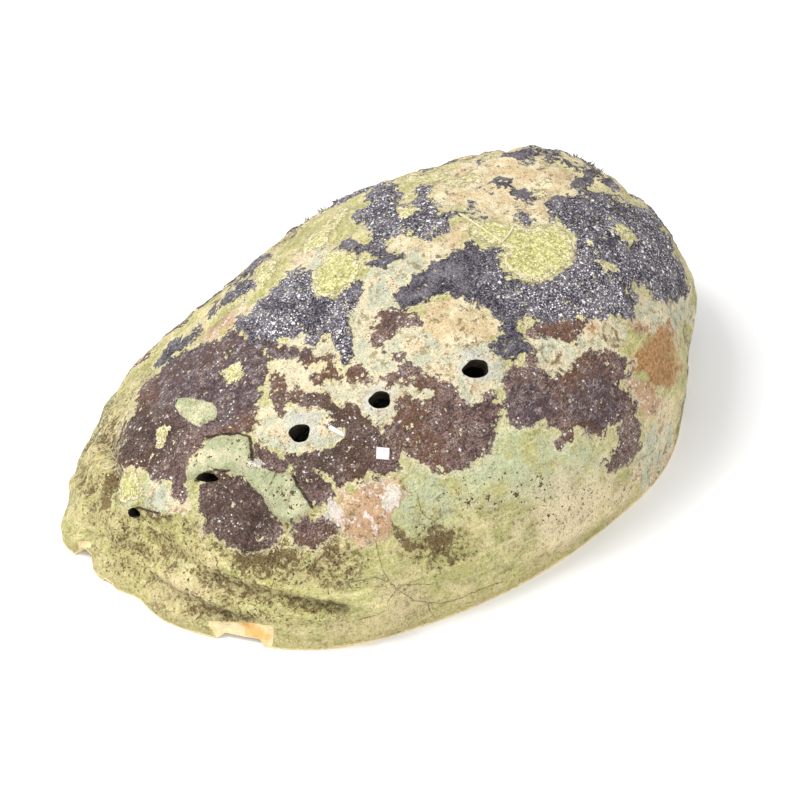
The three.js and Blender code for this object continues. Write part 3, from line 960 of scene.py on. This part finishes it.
def ease(value, low, high):
    inputs = {"Value": value, "From Min": low, "From Max": high}
    return value.node("ShaderNodeMapRange", {"interpolation_type": "SMOOTHSTEP"}, inputs)


def shaded(colour, value):  # darker or lighter by a plain factor
    inputs = {0: 1, 6: colour, 7: value}
    return value.node("ShaderNodeMix", {"data_type": "RGBA", "blend_type": "MULTIPLY"}, inputs, 2)


def millimetres(wire):
    place = wire.node("ShaderNodeTexCoord", output="Object")
    return wire.node("ShaderNodeVectorMath", {"operation": "SCALE"}, {0: place, "Scale": 1 / mm})


def cloud(place, size, detail=3, roughness=0.55, distortion=0):
    inputs = {"Vector": place, "Scale": 1 / size, "Detail": detail, "Roughness": roughness}
    return place.node("ShaderNodeTexNoise", {}, {**inputs, "Distortion": distortion})


# grains of a given spacing: 1 at the middle of each, for that share of the cells, some brighter than others
def grains(place, spacing, radius, share, ragged=0):
    inputs = {"Vector": place, "Scale": 1 / spacing, "Randomness": 1}
    far = place.node("ShaderNodeTexVoronoi", {}, inputs, "Distance")
    chance = place.node("ShaderNodeSeparateColor", {}, {0: far.other("Color")})
    shape = 1 - ease(far + ragged, radius * 0.5 / spacing, radius / spacing)
    return shape * ease(chance, 1 - share, 1.02 - share) * (chance.other("Green") * 0.6 + 0.4)


def attribute(wire, name):
    return wire.node("ShaderNodeAttribute", {"attribute_name": name}, {}, "Fac")


def finishMaterial(wire, colour, roughness, height, depth, **constants):
    normal = wire.node("ShaderNodeBump", {}, {"Height": height, "Distance": depth * mm, "Strength": 1})
    inputs = {"Base Color": colour, "Roughness": roughness, "Normal": normal}
    shader = wire.node("ShaderNodeBsdfPrincipled", {}, {**inputs, **constants})
    wire.node("ShaderNodeOutputMaterial", {}, {"Surface": shader})


crustLook = {
    "olive": "aaa86a", "khaki": "cabf8b", "straw": "dbd09b", "pinkish": "cdb392", "mint": "b4bc96",
    "sand": "d9c9a5", "rim": "b6ab70", "stain": "8f8751",
    "brown": "6a5635", "umber": "2f2317", "bister": "86734c",
    "cream": "d6caa9", "worn": "b7b9a4", "grey": "c6c4b9", "blush": "c9a18b",
    "peach": "cbb48c", "rose": "bb8c74", "flesh": "ae8764", "butter": "ddd1af",
    "maroon": "6f5550", "maroonDeep": "36272b", "film": "a58f81", "violet": "41373f", "rust": "68482e",
    "crust": "1f1c24", "crustLight": "524b56", "haze": "a29ca2", "white": "f6f4f0",
    "lime": "acaa63", "limeLight": "d4cd9a", "orange": "8b5e34", "orangeLight": "b68859",
    "flap": "a2a881", "flapLight": "bcb996", "nacre": "f2dcac", "nacreDeep": "e6b468",
    "chalk": "e6d4ce",
    "edgeRag": (5.5, 4.5, 3.5, 1.4),  # how far the broad to the grainy noises move a crust's edge, in mm
    "crispness": (0.3, 0.3),  # of the bare shell, and what a crust adds
    # painted shade in the hollows and painted light on the ridges, as a share of the relief height
    "hollowShade": 0.1,
    "foldShade": 0.11,
    "shine": {"Specular IOR Level": 0.35},
}


class CrustBase:  # the noises and painted fields that every layer of the crust is made from
    def __init__(self, wire):
        self.wire = wire
        self.place = millimetres(wire)
        broad, patchy = cloud(self.place, 16, 1), cloud(self.place, 4.2, 2)
        fine, grain = cloud(self.place, 1.2, 3, 0.65), cloud(self.place, 0.34, 1, 0.6)
        mottle, crumbs = cloud(self.place, 1.9, 4, 0.72), cloud(self.place, 0.8, 3, 0.75)
        self.noises = broad, patchy, fine, grain, mottle, crumbs
        ragPatchy, ragMottle, ragFine, ragGrain = crustLook["edgeRag"]
        rag = (patchy - 0.5) * ragPatchy + (mottle - 0.5) * ragMottle
        self.rag = rag + (fine - 0.5) * ragFine + (grain - 0.5) * ragGrain
        self.ragged = (grain - 0.5) * 0.8

    def field(self, name):
        return attribute(self.wire, name)

    def cover(self, name, width=0.14, push=0, wild=1):  # 1 inside a kind's outlines, ragged at the edge
        return ease(self.field(name) + self.rag * wild + push, -width, width)

    def specks(self, spacing, radius, share):
        return grains(self.place, spacing, radius, share, self.ragged)


def tint(colour, factor, name):
    return mix(factor, colour, crustLook[name])


def twoTone(factor, name, other):
    return mix(factor, crustLook[name], crustLook[other])


# olive with growth lines, mint and sandy washes, brown dirt in the hollows, and a painted shadow under the
# ledge of the newest hole
def bareShell(base):
    broad, patchy, fine, grain, mottle, crumbs = base.noises
    dirty = base.field("dirtWash")
    seed = {0: base.field("growthLine") + broad * 5 + patchy * 1.5, 1: broad * 5}
    lines = cloud(base.wire.node("ShaderNodeCombineXYZ", {}, seed), 2.5, 3, 0.65)
    colour = twoTone(ease(patchy * 0.6 + broad * 0.4, 0.43, 0.57), "olive", "khaki")
    colour = tint(colour, ease(mottle * 0.5 + broad * 0.5, 0.53, 0.59) * 0.5, "pinkish")
    colour = tint(colour, ease(lines, 0.48, 0.6) * ease(fine, 0.35, 0.55) * 0.6, "straw")
    colour = tint(colour, base.field("mintWash") * ease(patchy, 0.3, 0.6), "mint")
    colour = tint(colour, base.field("tanWash") * ease(patchy + broad, 0.7, 1.2) * 0.9, "sand")
    nearRim = 1 - ease(base.field("fromMargin") + patchy * 3, 2.5, 8)
    colour = tint(colour, nearRim * 0.55, "rim")
    colour = tint(colour, ease(crumbs, 0.48, 0.36) * 0.6, "cream")
    colour = tint(colour, ease(crumbs, 0.52, 0.64) * 0.6, "bister")
    split = lines - 0.5
    split = (1 - ease(split * split, 0.00002, 0.0004)) * ease(fine, 0.45, 0.6) * ease(patchy, 0.4, 0.55)
    colour = tint(colour, split * (dirty * 0.5 + 0.3), "brown")
    colour = tint(colour, (ease(mottle + patchy, 0.9, 1.12) * 0.5 + 0.12) * dirty, "stain")
    dirt = crumbs * 0.65 + mottle * 0.35 + dirty * 0.05
    dirt = dirt + base.field("umberWash") * 0.07 - base.field("hollow") * 0.05
    dirtColour = twoTone(ease(grain, 0.3, 0.5), "umber", "brown")
    colour = mix(ease(dirt, 0.52, 0.62) * (dirty * 0.65 + 0.25), colour, dirtColour)
    dots = base.specks(1.1, 0.3, 0.35)
    colour = tint(colour, ease(dots * (dirty * 0.7 + 0.3), 0.1, 0.5) * 0.8, "umber")
    # brown dirt patches, one of them a painted shadow under the ledge of the newest hole
    cakedDirtAndShadow = base.cover("brownDirt", 0.2, 0, 0.7) * ease(crumbs, 0.32, 0.45)
    return mix(cakedDirtAndShadow * 0.9, colour, dirtColour)


# pale patches where the crust has come away, grey round the holes
def wornPatches(base, colour):
    broad, patchy, fine, _, mottle, crumbs = base.noises
    pale = base.cover("paleWear", 0.14, 1.4, 0.75)
    layer = twoTone(ease(patchy, 0.42, 0.58), "worn", "cream")
    layer = tint(layer, ease(broad + fine, 0.95, 1.15) * 0.4, "butter")
    layer = tint(layer, ease(patchy + crumbs, 1.06, 1.2) * 0.6, "blush")
    nearHole = 1 - ease(base.field("fromHole") + (patchy - 0.5) * 3, 2.4, 4.4)
    layer = tint(layer, nearHole * 0.85, "grey")
    layer = tint(layer, ease(mottle, 0.53, 0.6) * (1 - nearHole * 0.6) * 0.7, "bister")
    layer = tint(layer, ease(crumbs, 0.58, 0.66) * 0.8, "brown")
    return mix(pale * 0.94, colour, layer), pale


# tan crusts, flesh coloured in places, and the orange stains
def tanCrusts(base, colour):
    _, patchy, fine, _, mottle, crumbs = base.noises
    rosy = base.field("roseWash")
    tan = base.cover("tanCrust", 0.14, 0, 0.65)
    layer = twoTone(ease(patchy, 0.4, 0.6), "peach", "butter")
    layer = tint(layer, rosy * ease(patchy, 0.3, 0.5) * 0.85, "flesh")
    layer = tint(layer, ease(crumbs, 0.5, 0.64) * (rosy * 0.5 + 0.2), "rose")
    layer = mix(ease(fine, 0.48, 0.36) * (rosy * 0.3 + 0.6), layer, twoTone(rosy, "cream", "chalk"))
    layer = tint(layer, ease(mottle * 0.6 + crumbs * 0.4, 0.52, 0.59) * 0.8, "brown")
    colour = mix(tan * 0.95, colour, layer)
    orange = twoTone(ease(crumbs, 0.4, 0.6), "orange", "orangeLight")
    return mix(base.cover("orangeStain", 0.9) * 0.9, colour, orange), tan


# a pale fringe, then the maroon crust with rusty and violet parts and cream flecks
def maroonCrust(base, colour, flaked):
    broad, patchy, fine, grain, mottle, crumbs = base.noises
    fringe = ease(base.cover("maroonCrust", 0.14, 1.1) + base.cover("darkCrust", 0.14, 1.1), 0.1, 0.9)
    colour = tint(colour, fringe * ease(crumbs, 0.42, 0.55) * 0.7, "cream")
    area = base.cover("maroonCrust")
    colour = tint(colour, area * 0.65, "cream")
    maroon = area * flaked
    layer = twoTone(ease(crumbs, 0.38, 0.6), "maroonDeep", "maroon")
    layer = tint(layer, ease(patchy + fine * 0.6, 0.7, 0.95) * ease(grain, 0.35, 0.6) * 0.6, "film")
    layer = tint(layer, ease(broad + mottle, 1.0, 1.16) * 0.7, "rust")
    violet = ease(base.field("violetWash") + (patchy - 0.5) * 2.5, 0.2, 0.8)
    layer = tint(layer, violet * 0.55, "violet")
    layer = tint(layer, violet * ease(fine, 0.52, 0.66) * 0.6, "haze")
    layer = tint(layer, base.field("umberWash") * 0.55, "umber")
    layer = tint(layer, ease(mottle + fine, 1.06, 1.2) * 0.6, "maroonDeep")
    layer = tint(layer, ease(mottle * 0.5 + crumbs * 0.5, 0.46, 0.38) * 0.8, "film")
    flecks = base.specks(1.9, 0.42, 0.2) + base.specks(0.7, 0.22, 0.4) * ease(patchy, 0.4, 0.6)
    layer = tint(layer, ease(flecks, 0.05, 0.9), "white")
    return mix(maroon, colour, layer), maroon


# the dark crust with its white grains
def darkCrust(base, colour, flaked):
    broad, patchy, _, grain, _, crumbs = base.noises
    dark = base.cover("darkCrust") * flaked
    layer = twoTone(ease(crumbs, 0.38, 0.62), "crust", "crustLight")
    layer = tint(layer, ease(broad + patchy, 1.0, 1.2) * 0.5, "maroonDeep")
    layer = tint(layer, ease(patchy, 0.45, 0.7) * 0.3, "haze")
    rich = base.field("speckWash") * ease(patchy * 0.6 + broad * 0.4, 0.34, 0.5)
    layer = tint(layer, ease(grain, 0.5, 0.66) * (rich * 0.55 + 0.2), "haze")
    specks = base.specks(0.5, 0.23, 0.46) + base.specks(1.2, 0.44, 0.3)
    layer = tint(layer, ease(specks * (rich * 0.75 + 0.25), 0.05, 0.75), "white")
    return mix(dark, colour, layer), dark, specks


# lime patches grow over everything, with lacy cream edges; the green flap and chalk spots lie on top
def limeAndFlap(base, colour):
    _, patchy, fine, _, mottle, crumbs = base.noises
    lime = base.cover("limePatch", 0.12, 0, 0.5)
    lace = (1 - base.cover("limePatch", 0.5, -1.1, 0.5)) * ease(crumbs, 0.4, 0.55)
    layer = twoTone(ease(crumbs, 0.38, 0.62), "lime", "limeLight")
    layer = tint(layer, lace, "cream")
    layer = tint(layer, ease(mottle, 0.56, 0.64) * 0.6, "bister")
    colour = mix(lime, colour, layer)
    flap = ease(base.field("flap") + (fine - 0.5) * 0.8, -0.12, 0.12)
    layer = twoTone(ease(patchy, 0.4, 0.6), "flap", "flapLight")
    layer = tint(layer, base.field("tanWash") * ease(patchy, 0.35, 0.6) * 0.8, "cream")
    layer = tint(layer, ease(crumbs, 0.5, 0.38) * 0.4, "cream")
    layer = tint(layer, ease(mottle, 0.56, 0.66) * 0.5, "bister")
    colour = mix(flap, colour, layer)
    chalk = twoTone(ease(crumbs, 0.4, 0.6), "chalk", "worn")
    return mix(base.cover("chalkSpot", 0.2) * 0.9, colour, chalk), lime, flap


# pin holes, cracks, painted shadow in the crevices and the scars of healed holes
def smallMarks(base, colour, pitted):
    _, patchy, fine, _, mottle, _ = base.noises
    pits = base.specks(1.9, 0.72, 0.42) + base.specks(0.8, 0.26, 0.4)
    pits = pits * pitted * ease(patchy + mottle, 0.86, 1.02)
    colour = tint(colour, ease(pits, 0.01, 0.2) * 0.5, "bister")
    colour = tint(colour, ease(pits, 0.1, 0.5) * 0.85, "umber")
    side = base.field("crackSide") + (fine - 0.5) * 0.5
    crack = (1 - ease(side * side, 0.001, 0.014)) * (1 - ease(base.field("crackNear"), 0.6, 1))
    colour = tint(colour, crack * ease(mottle, 0.3, 0.5) * 0.6, "brown")
    # painted shadow along the crevice lines, in the dirt's dark umber
    gap = base.field("creviceSide") + (fine - 0.5) * 0.5
    crevice = (1 - ease(gap * gap, 0.01, 0.1)) * (1 - ease(base.field("creviceNear") + patchy, 0.8, 1.4))
    colour = tint(colour, crevice * 0.9, "umber")
    ring = base.field("healedRing") - 1.7 + (fine - 0.5) * 1.2
    scar = (1 - ease(ring * ring, 0.01, 0.2)) * ease(mottle, 0.4, 0.55)
    return tint(colour, scar * 0.75, "brown"), crack, crevice


# pearl shows where the margin is broken, and in a thin line all round
def brokenMargin(base, colour):
    _, patchy, fine, _, _, _ = base.noises
    broken = ease(base.field("brokenEdge") + (fine - 0.5) * 0.4, -0.1, 0.1)
    colour = mix(broken, colour, twoTone(ease(patchy, 0.48, 0.7), "nacre", "nacreDeep"))
    thinEdge = 1 - ease(base.field("fromMargin") + (patchy - 0.5) * 1.2, 0.3, 0.6)
    return tint(colour, thinEdge * 0.8, "nacre"), broken


def crustMaterial():
    material, wire = newMaterial("encrustedShell")
    base = CrustBase(wire)
    _, _, fine, grain, mottle, crumbs = base.noises
    flaked = 1 - ease(mottle * 0.8 + fine * 0.3, 0.64, 0.7)
    colour, pale = wornPatches(base, bareShell(base))
    colour, tan = tanCrusts(base, colour)
    colour, maroon = maroonCrust(base, colour, flaked)
    colour, dark, specks = darkCrust(base, colour, flaked)
    colour, lime, flap = limeAndFlap(base, colour)
    crusted = ease(maroon + dark + lime, 0.2, 0.8)
    pitted = ease(base.field("pitWash") + flap + pale * 0.4, 0.15, 0.9) * (1 - crusted)
    colour, crack, crevice = smallMarks(base, colour, pitted)
    colour, broken = brokenMargin(base, colour)
    bareCrisp, crustCrisp = crustLook["crispness"]
    crisp = (ease(grain, 0.32, 0.68) - 0.5) * (crusted * crustCrisp + bareCrisp - broken * bareCrisp)
    crisp = crisp + (ease(crumbs, 0.3, 0.7) - 0.5) * 0.2 + 1
    # painted shade in the hollows of the lumps and folds, and painted light on their ridges
    shade = base.field("hollow") * crustLook["hollowShade"] + base.field("fold") * crustLook["foldShade"]
    height = dark * 0.3 + maroon * 0.18 + lime * 0.26 + tan * 0.1
    height = height + fine * 0.6 + grain * 0.18 + mottle * 0.4 - crack * 0.2 - crevice * 0.5
    roughness = 0.85 - specks * dark * 0.3 - broken * 0.35
    finishMaterial(wire, shaded(colour, crisp + shade), roughness, height, 1, **crustLook["shine"])
    return material


nacreLook = {
    # hues in turn along the bands
    "hues": ["dcd9cf", "d6bcc6", "dedbd2", "b4d2c2", "dcdad2", "b1c8d8", "dcdad4", "e2d4ae", "d8c3ca"],
    "from": 0.3,
    "to": 0.78,
    "swirlSize": 34,
    "bandsPerSwirl": 60,
    "sheen": {"Metallic": 0.35, "Coat Weight": 0.5, "Coat Roughness": 0.12},
}


def nacreMaterial():
    look = nacreLook
    material, wire = newMaterial("motherOfPearl")
    place = millimetres(wire)
    swirl = cloud(place, look["swirlSize"], 3, 0.5, 0.6)
    ripple = cloud(place, 4, 3, 0.6)
    bands = wire.math("SINE", swirl * look["bandsPerSwirl"] + ripple * 6, 0) * 0.5 + 0.5
    last = len(look["hues"]) - 1
    span = look["to"] - look["from"]
    stops = [(look["from"] + span * i / last, hue(code)) for i, code in enumerate(look["hues"])]
    blend = swirl * 0.75 + bands * 0.13 + ripple * 0.14
    colour = wire.node("ShaderNodeValToRGB", {"stops": stops}, {0: blend})
    finishMaterial(wire, colour, 0.18 + ripple * 0.16, bands * 0.2 + ripple * 0.5, 0.5, **look["sheen"])
    return material


marginLook = {"light": "eddcb0", "deep": "d8c08a", "stain": "b9a874"}


def marginMaterial():
    material, wire = newMaterial("marginEdge")
    place = millimetres(wire)
    layers, stain = cloud(place, 0.7, 3, 0.6), cloud(place, 9, 3)
    colour = mix(ease(layers, 0.35, 0.65), marginLook["light"], marginLook["deep"])
    colour = mix(ease(stain, 0.5, 0.7) * 0.6, colour, marginLook["stain"])
    finishMaterial(wire, colour, 0.5 + layers * 0.2, layers, 0.3)
    return material


# the walls of the breathing holes are painted dark brown to near black, as painted shade inside the holes
holeShadeLook = {"light": "4a4030", "deep": "1a140f"}


def holeShadeMaterial():
    material, wire = newMaterial("holeWallShade")
    place = millimetres(wire)
    stain = cloud(place, 1.6, 4)
    colour = mix(ease(stain, 0.35, 0.7), holeShadeLook["light"], holeShadeLook["deep"])
    finishMaterial(wire, colour, 0.7 + stain * 0.2, stain, 0.2)
    return material


# one slightly uneven oval prism for each hole
def punchMesh():
    points, faces = [], []
    sides, reach = 36, 9
    row = holeRow()
    for x, y, length, width, _, tilt in breathingHoles:
        spot = int(np.argmin(np.linalg.norm(plainPoints[:, :2] - (x, y), axis=1)))
        seat = plainPoints[spot]
        index = nearestOnLine(np.array([[x, y]]), row)[0][0]
        along = np.append(row[index - 2] - row[index + 2], 0)
        along /= np.linalg.norm(along)
        across = np.array([along[1], -along[0], 0])
        lean = math.radians(tilt)
        axis = outerNormals[spot] * math.cos(lean) - across * math.sin(lean)
        axis /= np.linalg.norm(axis)
        along -= axis * (along @ axis)
        along /= np.linalg.norm(along)
        side = np.cross(along, axis)
        start = len(points)
        for rise in (-reach, reach):
            for k in range(sides):
                a = 2 * math.pi * k / sides
                wobble = 1 + 0.05 * math.sin(3 * a + x) + 0.03 * math.sin(5 * a + y)
                ring = along * (math.cos(a) * length / 2) + side * (math.sin(a) * width / 2)
                points.append(seat + axis * rise + ring * wobble)
        bottom = list(range(start, start + sides))
        top = list(range(start + sides, start + 2 * sides))
        faces.append(bottom)
        faces.append(top[::-1])
        for k in range(sides):
            n = (k + 1) % sides
            faces.append([bottom[k], top[k], top[n], bottom[n]])
    return points, faces


outerCount = len(outerPoints)
radius, angle = discNet(shellForm["outerSquares"])
plainPoints = inSlices(domePoint, radius, angle, 0, shellForm["height"])[0]
outerNormals = inSlices(domeNormal, radius, angle)
shellMaterials = [crustMaterial(), nacreMaterial(), holeShadeMaterial(), marginMaterial()]
nacreSlot, holeShadeSlot, marginSlot = 1, 2, 3
outerFaces = netFaces(shellForm["outerSquares"], 0)
innerFaces = np.roll(netFaces(shellForm["innerSquares"], outerCount)[:, ::-1], 1, axis=1)
outerEdge = netEdge(shellForm["outerSquares"], 0)
innerEdge = netEdge(shellForm["innerSquares"], outerCount)
rimFaces = []
for k in range(len(innerEdge)):  # two outer edges meet each inner one
    a, b, c = outerEdge[2 * k], outerEdge[2 * k + 1], outerEdge[(2 * k + 2) % len(outerEdge)]
    here, there = innerEdge[k], innerEdge[(k + 1) % len(innerEdge)]
    rimFaces += [[a, here, b], [b, here, there], [b, there, c]]
faces = outerFaces.tolist() + innerFaces.tolist() + [[int(i) for i in f] for f in rimFaces]
shell = meshObject("abaloneShell", np.vstack([outerPoints, innerPoints]) + toFrame, faces, shellMaterials)
slots = np.zeros(len(faces), np.int32)
slots[len(outerFaces):] = nacreSlot
slots[len(outerFaces) + len(innerFaces):] = marginSlot
shell.data.polygons.foreach_set("material_index", slots)

punchPoints, punchFaces = punchMesh()
punches = meshObject("punches", np.array(punchPoints) + toFrame, punchFaces, shellMaterials)
punches.data.polygons.foreach_set("material_index", np.full(len(punchFaces), holeShadeSlot, np.int32))
cut = shell.modifiers.new("holes", "BOOLEAN")
cut.operation = "DIFFERENCE"
cut.solver = "MANIFOLD"
cut.object = punches
pierced = bpy.data.meshes.new_from_object(shell.evaluated_get(bpy.context.evaluated_depsgraph_get()))
print("shell:", len(shell.data.polygons), "faces before the holes,", len(pierced.polygons), "after")
shell.modifiers.clear()
shell.data = pierced
bpy.data.objects.remove(punches)

# the fields go to the pierced mesh by nearest vertex
tree = KDTree(outerCount)
for i, p in enumerate(((outerPoints + toFrame) * mm).tolist()):
    tree.insert(p, i)
tree.balance()
nearest = np.array([tree.find(v.co)[1] for v in pierced.vertices])
for name, values in fields.items():
    layer = pierced.attributes.new(name, "FLOAT", "POINT")
    layer.data.foreach_set("value", values[nearest].astype(np.float32))
pierced.shade_smooth()
sharpFrom = 50  # degrees between two faces
pierced.set_sharp_from_angle(angle=math.radians(sharpFrom))
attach(shell, "root")
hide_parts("shell")
print("shell: painted with", len(fields), "fields")

print("small things: chips, worm tube and tufts")

# what has stuck to the shell, by where it shows in the photo: pixels, and thickness in mm
whiteChips = {
    "outlines": {
        "squareChip": [(376.5, 447), (389.5, 448), (389, 460), (376, 459)],
        "sliver": [(328, 427), (331, 425), (344, 433), (344, 437), (338, 434), (330, 430)],
    },
    "thick": {"squareChip": 0.4, "sliver": 0.25},
    "sunk": 0.2,
    "bevel": (0.7, 0.9),  # the share of the height where it starts, and what it leaves of the width
    "look": {"light": "e9e3e1", "deep": "d6cbc8", "size": 1, "rough": 0.6},
}
wormTube = {
    "runs": [[(459, 214), (472, 222), (487, 232), (502, 243)], [(502, 243), (509, 235), (514, 226)]],
    "radius": 0.22,
    "rise": 0.4,  # of its middle off the shell, as a share of the radius
    "steps": 24,
    "look": {"light": "ded6b8", "deep": "c9bd94", "size": 0.6, "rough": 0.8},
}
algaTufts = {
    "places": [(338, 198), (322, 207), (304, 217), (295, 223), (578, 153), (590, 159), (605, 165)],
    "blades": 14,
    "length": (0.3, 1.5),
    "radius": 0.14,
    "spread": 0.9,
    "scatter": 0.5,
    "sunk": 0.3,
    "preferSeen": 20,  # pixels by which a place on the seen side counts as nearer
    "look": {"light": "4a4534", "deep": "2c2a22", "size": 0.8, "rough": 0.9},
}
carrier = BVHTree.FromObject(shell, bpy.context.evaluated_depsgraph_get())


# the place on the shell that shows at a pixel, and its normal, in mm
def onShell(pixel):
    back, right, up = viewAxes()
    x, y = pixel[0] - photoView["middle"][0], pixel[1] - photoView["middle"][1]
    ray = Vector(right * x - up * y - back * focalPixels()).normalized()
    hit, normal, _, _ = carrier.ray_cast(Vector((eyePlace() + toFrame) * mm), ray)
    return np.array(hit) / mm, np.array(normal)


def plainMaterial(name, light, deep, size, rough):
    material, wire = newMaterial(name)
    stain = cloud(millimetres(wire), size, 4, 0.65)
    finishMaterial(wire, mix(ease(stain, 0.35, 0.65), light, deep), rough - stain * 0.1, stain, 0.1)
    return material


def joinShell(piece):
    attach(piece, "root")


def makeChip(name, outline, thick, material):
    sunk = whiteChips["sunk"]
    edgeAt, topShare = whiteChips["bevel"]
    seats = [onShell(pixel) for pixel in outline]
    normal = np.mean([n for _, n in seats], axis=0)
    foot = np.array([p for p, _ in seats]) - normal * sunk
    middle = foot.mean(0)
    levels = [(0, 1), (sunk + thick * edgeAt, 1), (sunk + thick, topShare)]
    points = np.vstack([middle + (foot - middle) * share + normal * rise for rise, share in levels])
    n = len(outline)
    faces = [list(range(n))[::-1], list(range(2 * n, 3 * n))]
    for ring in (0, n):
        for k in range(n):
            faces.append([ring + k, ring + (k + 1) % n, ring + n + (k + 1) % n, ring + n + k])
    joinShell(meshObject(name, points, faces, [material]))


def makeTube(material):
    curve = bpy.data.curves.new("wormTube", "CURVE")
    curve.dimensions = "3D"
    curve.bevel_depth = wormTube["radius"] * mm
    curve.bevel_resolution = 2
    curve.use_fill_caps = True
    for run in wormTube["runs"]:
        spots = [onShell(pixel) for pixel in smoothLine(run, wormTube["steps"])]
        spline = curve.splines.new("POLY")
        spline.points.add(len(spots) - 1)
        for point, (place, normal) in zip(spline.points, spots):
            point.co = (*((place + normal * wormTube["radius"] * wormTube["rise"]) * mm), 1)
    holder = bpy.data.objects.new("tubeLine", curve)
    mesh = bpy.data.meshes.new_from_object(holder)
    mesh.materials.clear()
    mesh.materials.append(material)
    mesh.shade_smooth()
    tube = bpy.data.objects.new("wormTube", mesh)
    bpy.context.scene.collection.objects.link(tube)
    bpy.data.objects.remove(holder)
    joinShell(tube)


# each blade is a thin three-sided spike
def makeTufts(material):
    form = algaTufts
    chance = np.random.default_rng(5)
    pixels = toPixels(outerPoints)
    facing = outerNormals @ viewAxes()[0] > 0
    points, faces = [], []
    for place in form["places"]:
        spot = int(np.argmin(np.linalg.norm(pixels - place, axis=1) - form["preferSeen"] * facing))
        seat, normal = outerPoints[spot] + toFrame, outerNormals[spot]
        for _ in range(form["blades"]):
            foot = seat + chance.normal(0, form["scatter"], 3)
            foot -= normal * (form["sunk"] + normal @ (foot - seat))
            way = normal + chance.normal(0, form["spread"], 3)
            way /= np.linalg.norm(way)
            across = np.cross(way, (0.3, 0.5, 0.8))
            across /= np.linalg.norm(across)
            other = np.cross(way, across)
            rim = form["radius"] * np.array([across, other, -across - other])
            start = len(points)
            points += list(foot + rim) + [foot + way * (form["sunk"] + chance.uniform(*form["length"]))]
            faces += [[start, start + 2, start + 1]]
            faces += [[start + k, start + (k + 1) % 3, start + 3] for k in range(3)]
    joinShell(meshObject("algaTufts", points, faces, [material]))


chipWhite = plainMaterial("chipWhite", **whiteChips["look"])
for name, outline in whiteChips["outlines"].items():
    makeChip(name, outline, whiteChips["thick"][name], chipWhite)
makeTube(plainMaterial("tubeLime", **wormTube["look"]))
makeTufts(plainMaterial("dryAlga", **algaTufts["look"]))

studio = {
    "floor": ("f4f4f4", "ffffff"),
    "tableHalf": 4000,
    "aim": (0, 0, 0.02),  # where both lamps point
    "world": 0.78,
    "key": {"place": (-0.42, 0.3, 0.75), "size": 0.42, "power": 6.5},
    "fill": {"place": (-0.3, -0.7, 0.6), "size": 0.6, "power": 2.5},
}


def softLight(name, place, size, power):
    light = bpy.data.lights.new(name, "AREA")
    light.size = size
    light.energy = power
    lamp = bpy.data.objects.new(name, light)
    lamp.location = place
    lamp.rotation_euler = (Vector(studio["aim"]) - lamp.location).to_track_quat("-Z", "Y").to_euler()
    bpy.context.scene.collection.objects.link(lamp)


def makeStudio():
    material, wire = newMaterial("paleTable")
    haze = cloud(millimetres(wire), 60, 2)
    colour = mix(haze * 0.1, *studio["floor"])
    finishMaterial(wire, colour, 0.9 - haze * 0.05, haze, 0.05)
    half = studio["tableHalf"]
    corners = [(-half, -half, 0), (half, -half, 0), (half, half, 0), (-half, half, 0)]
    table = meshObject("table", corners, [(0, 1, 2, 3)], [material])
    world = bpy.data.worlds.new("studio")
    world.use_nodes = True
    sky = world.node_tree.nodes["Background"].inputs
    sky["Color"].default_value = (1, 1, 1, 1)
    sky["Strength"].default_value = studio["world"]
    bpy.context.scene.world = world
    softLight("key", **studio["key"])
    softLight("fill", **studio["fill"])
    bpy.context.scene.view_settings.view_transform = "Standard"


def makeCamera():
    back, right, up = viewAxes()
    f, half = focalPixels(), photoView["side"] / 2
    offX, offY = half - photoView["middle"][0], half - photoView["middle"][1]
    aim = Vector(-back + right * (offX / f) - up * (offY / f))
    camera = bpy.data.cameras.new("photoCamera")
    camera.angle = math.radians(photoView["fieldOfView"])
    camera.clip_start = 0.01
    holder = bpy.data.objects.new("photoCamera", camera)
    holder.location = (eyePlace() + toFrame) * mm
    holder.rotation_euler = aim.to_track_quat("-Z", "Y").to_euler()
    bpy.context.scene.collection.objects.link(holder)
    bpy.context.scene.camera = holder


makeStudio()
makeCamera()
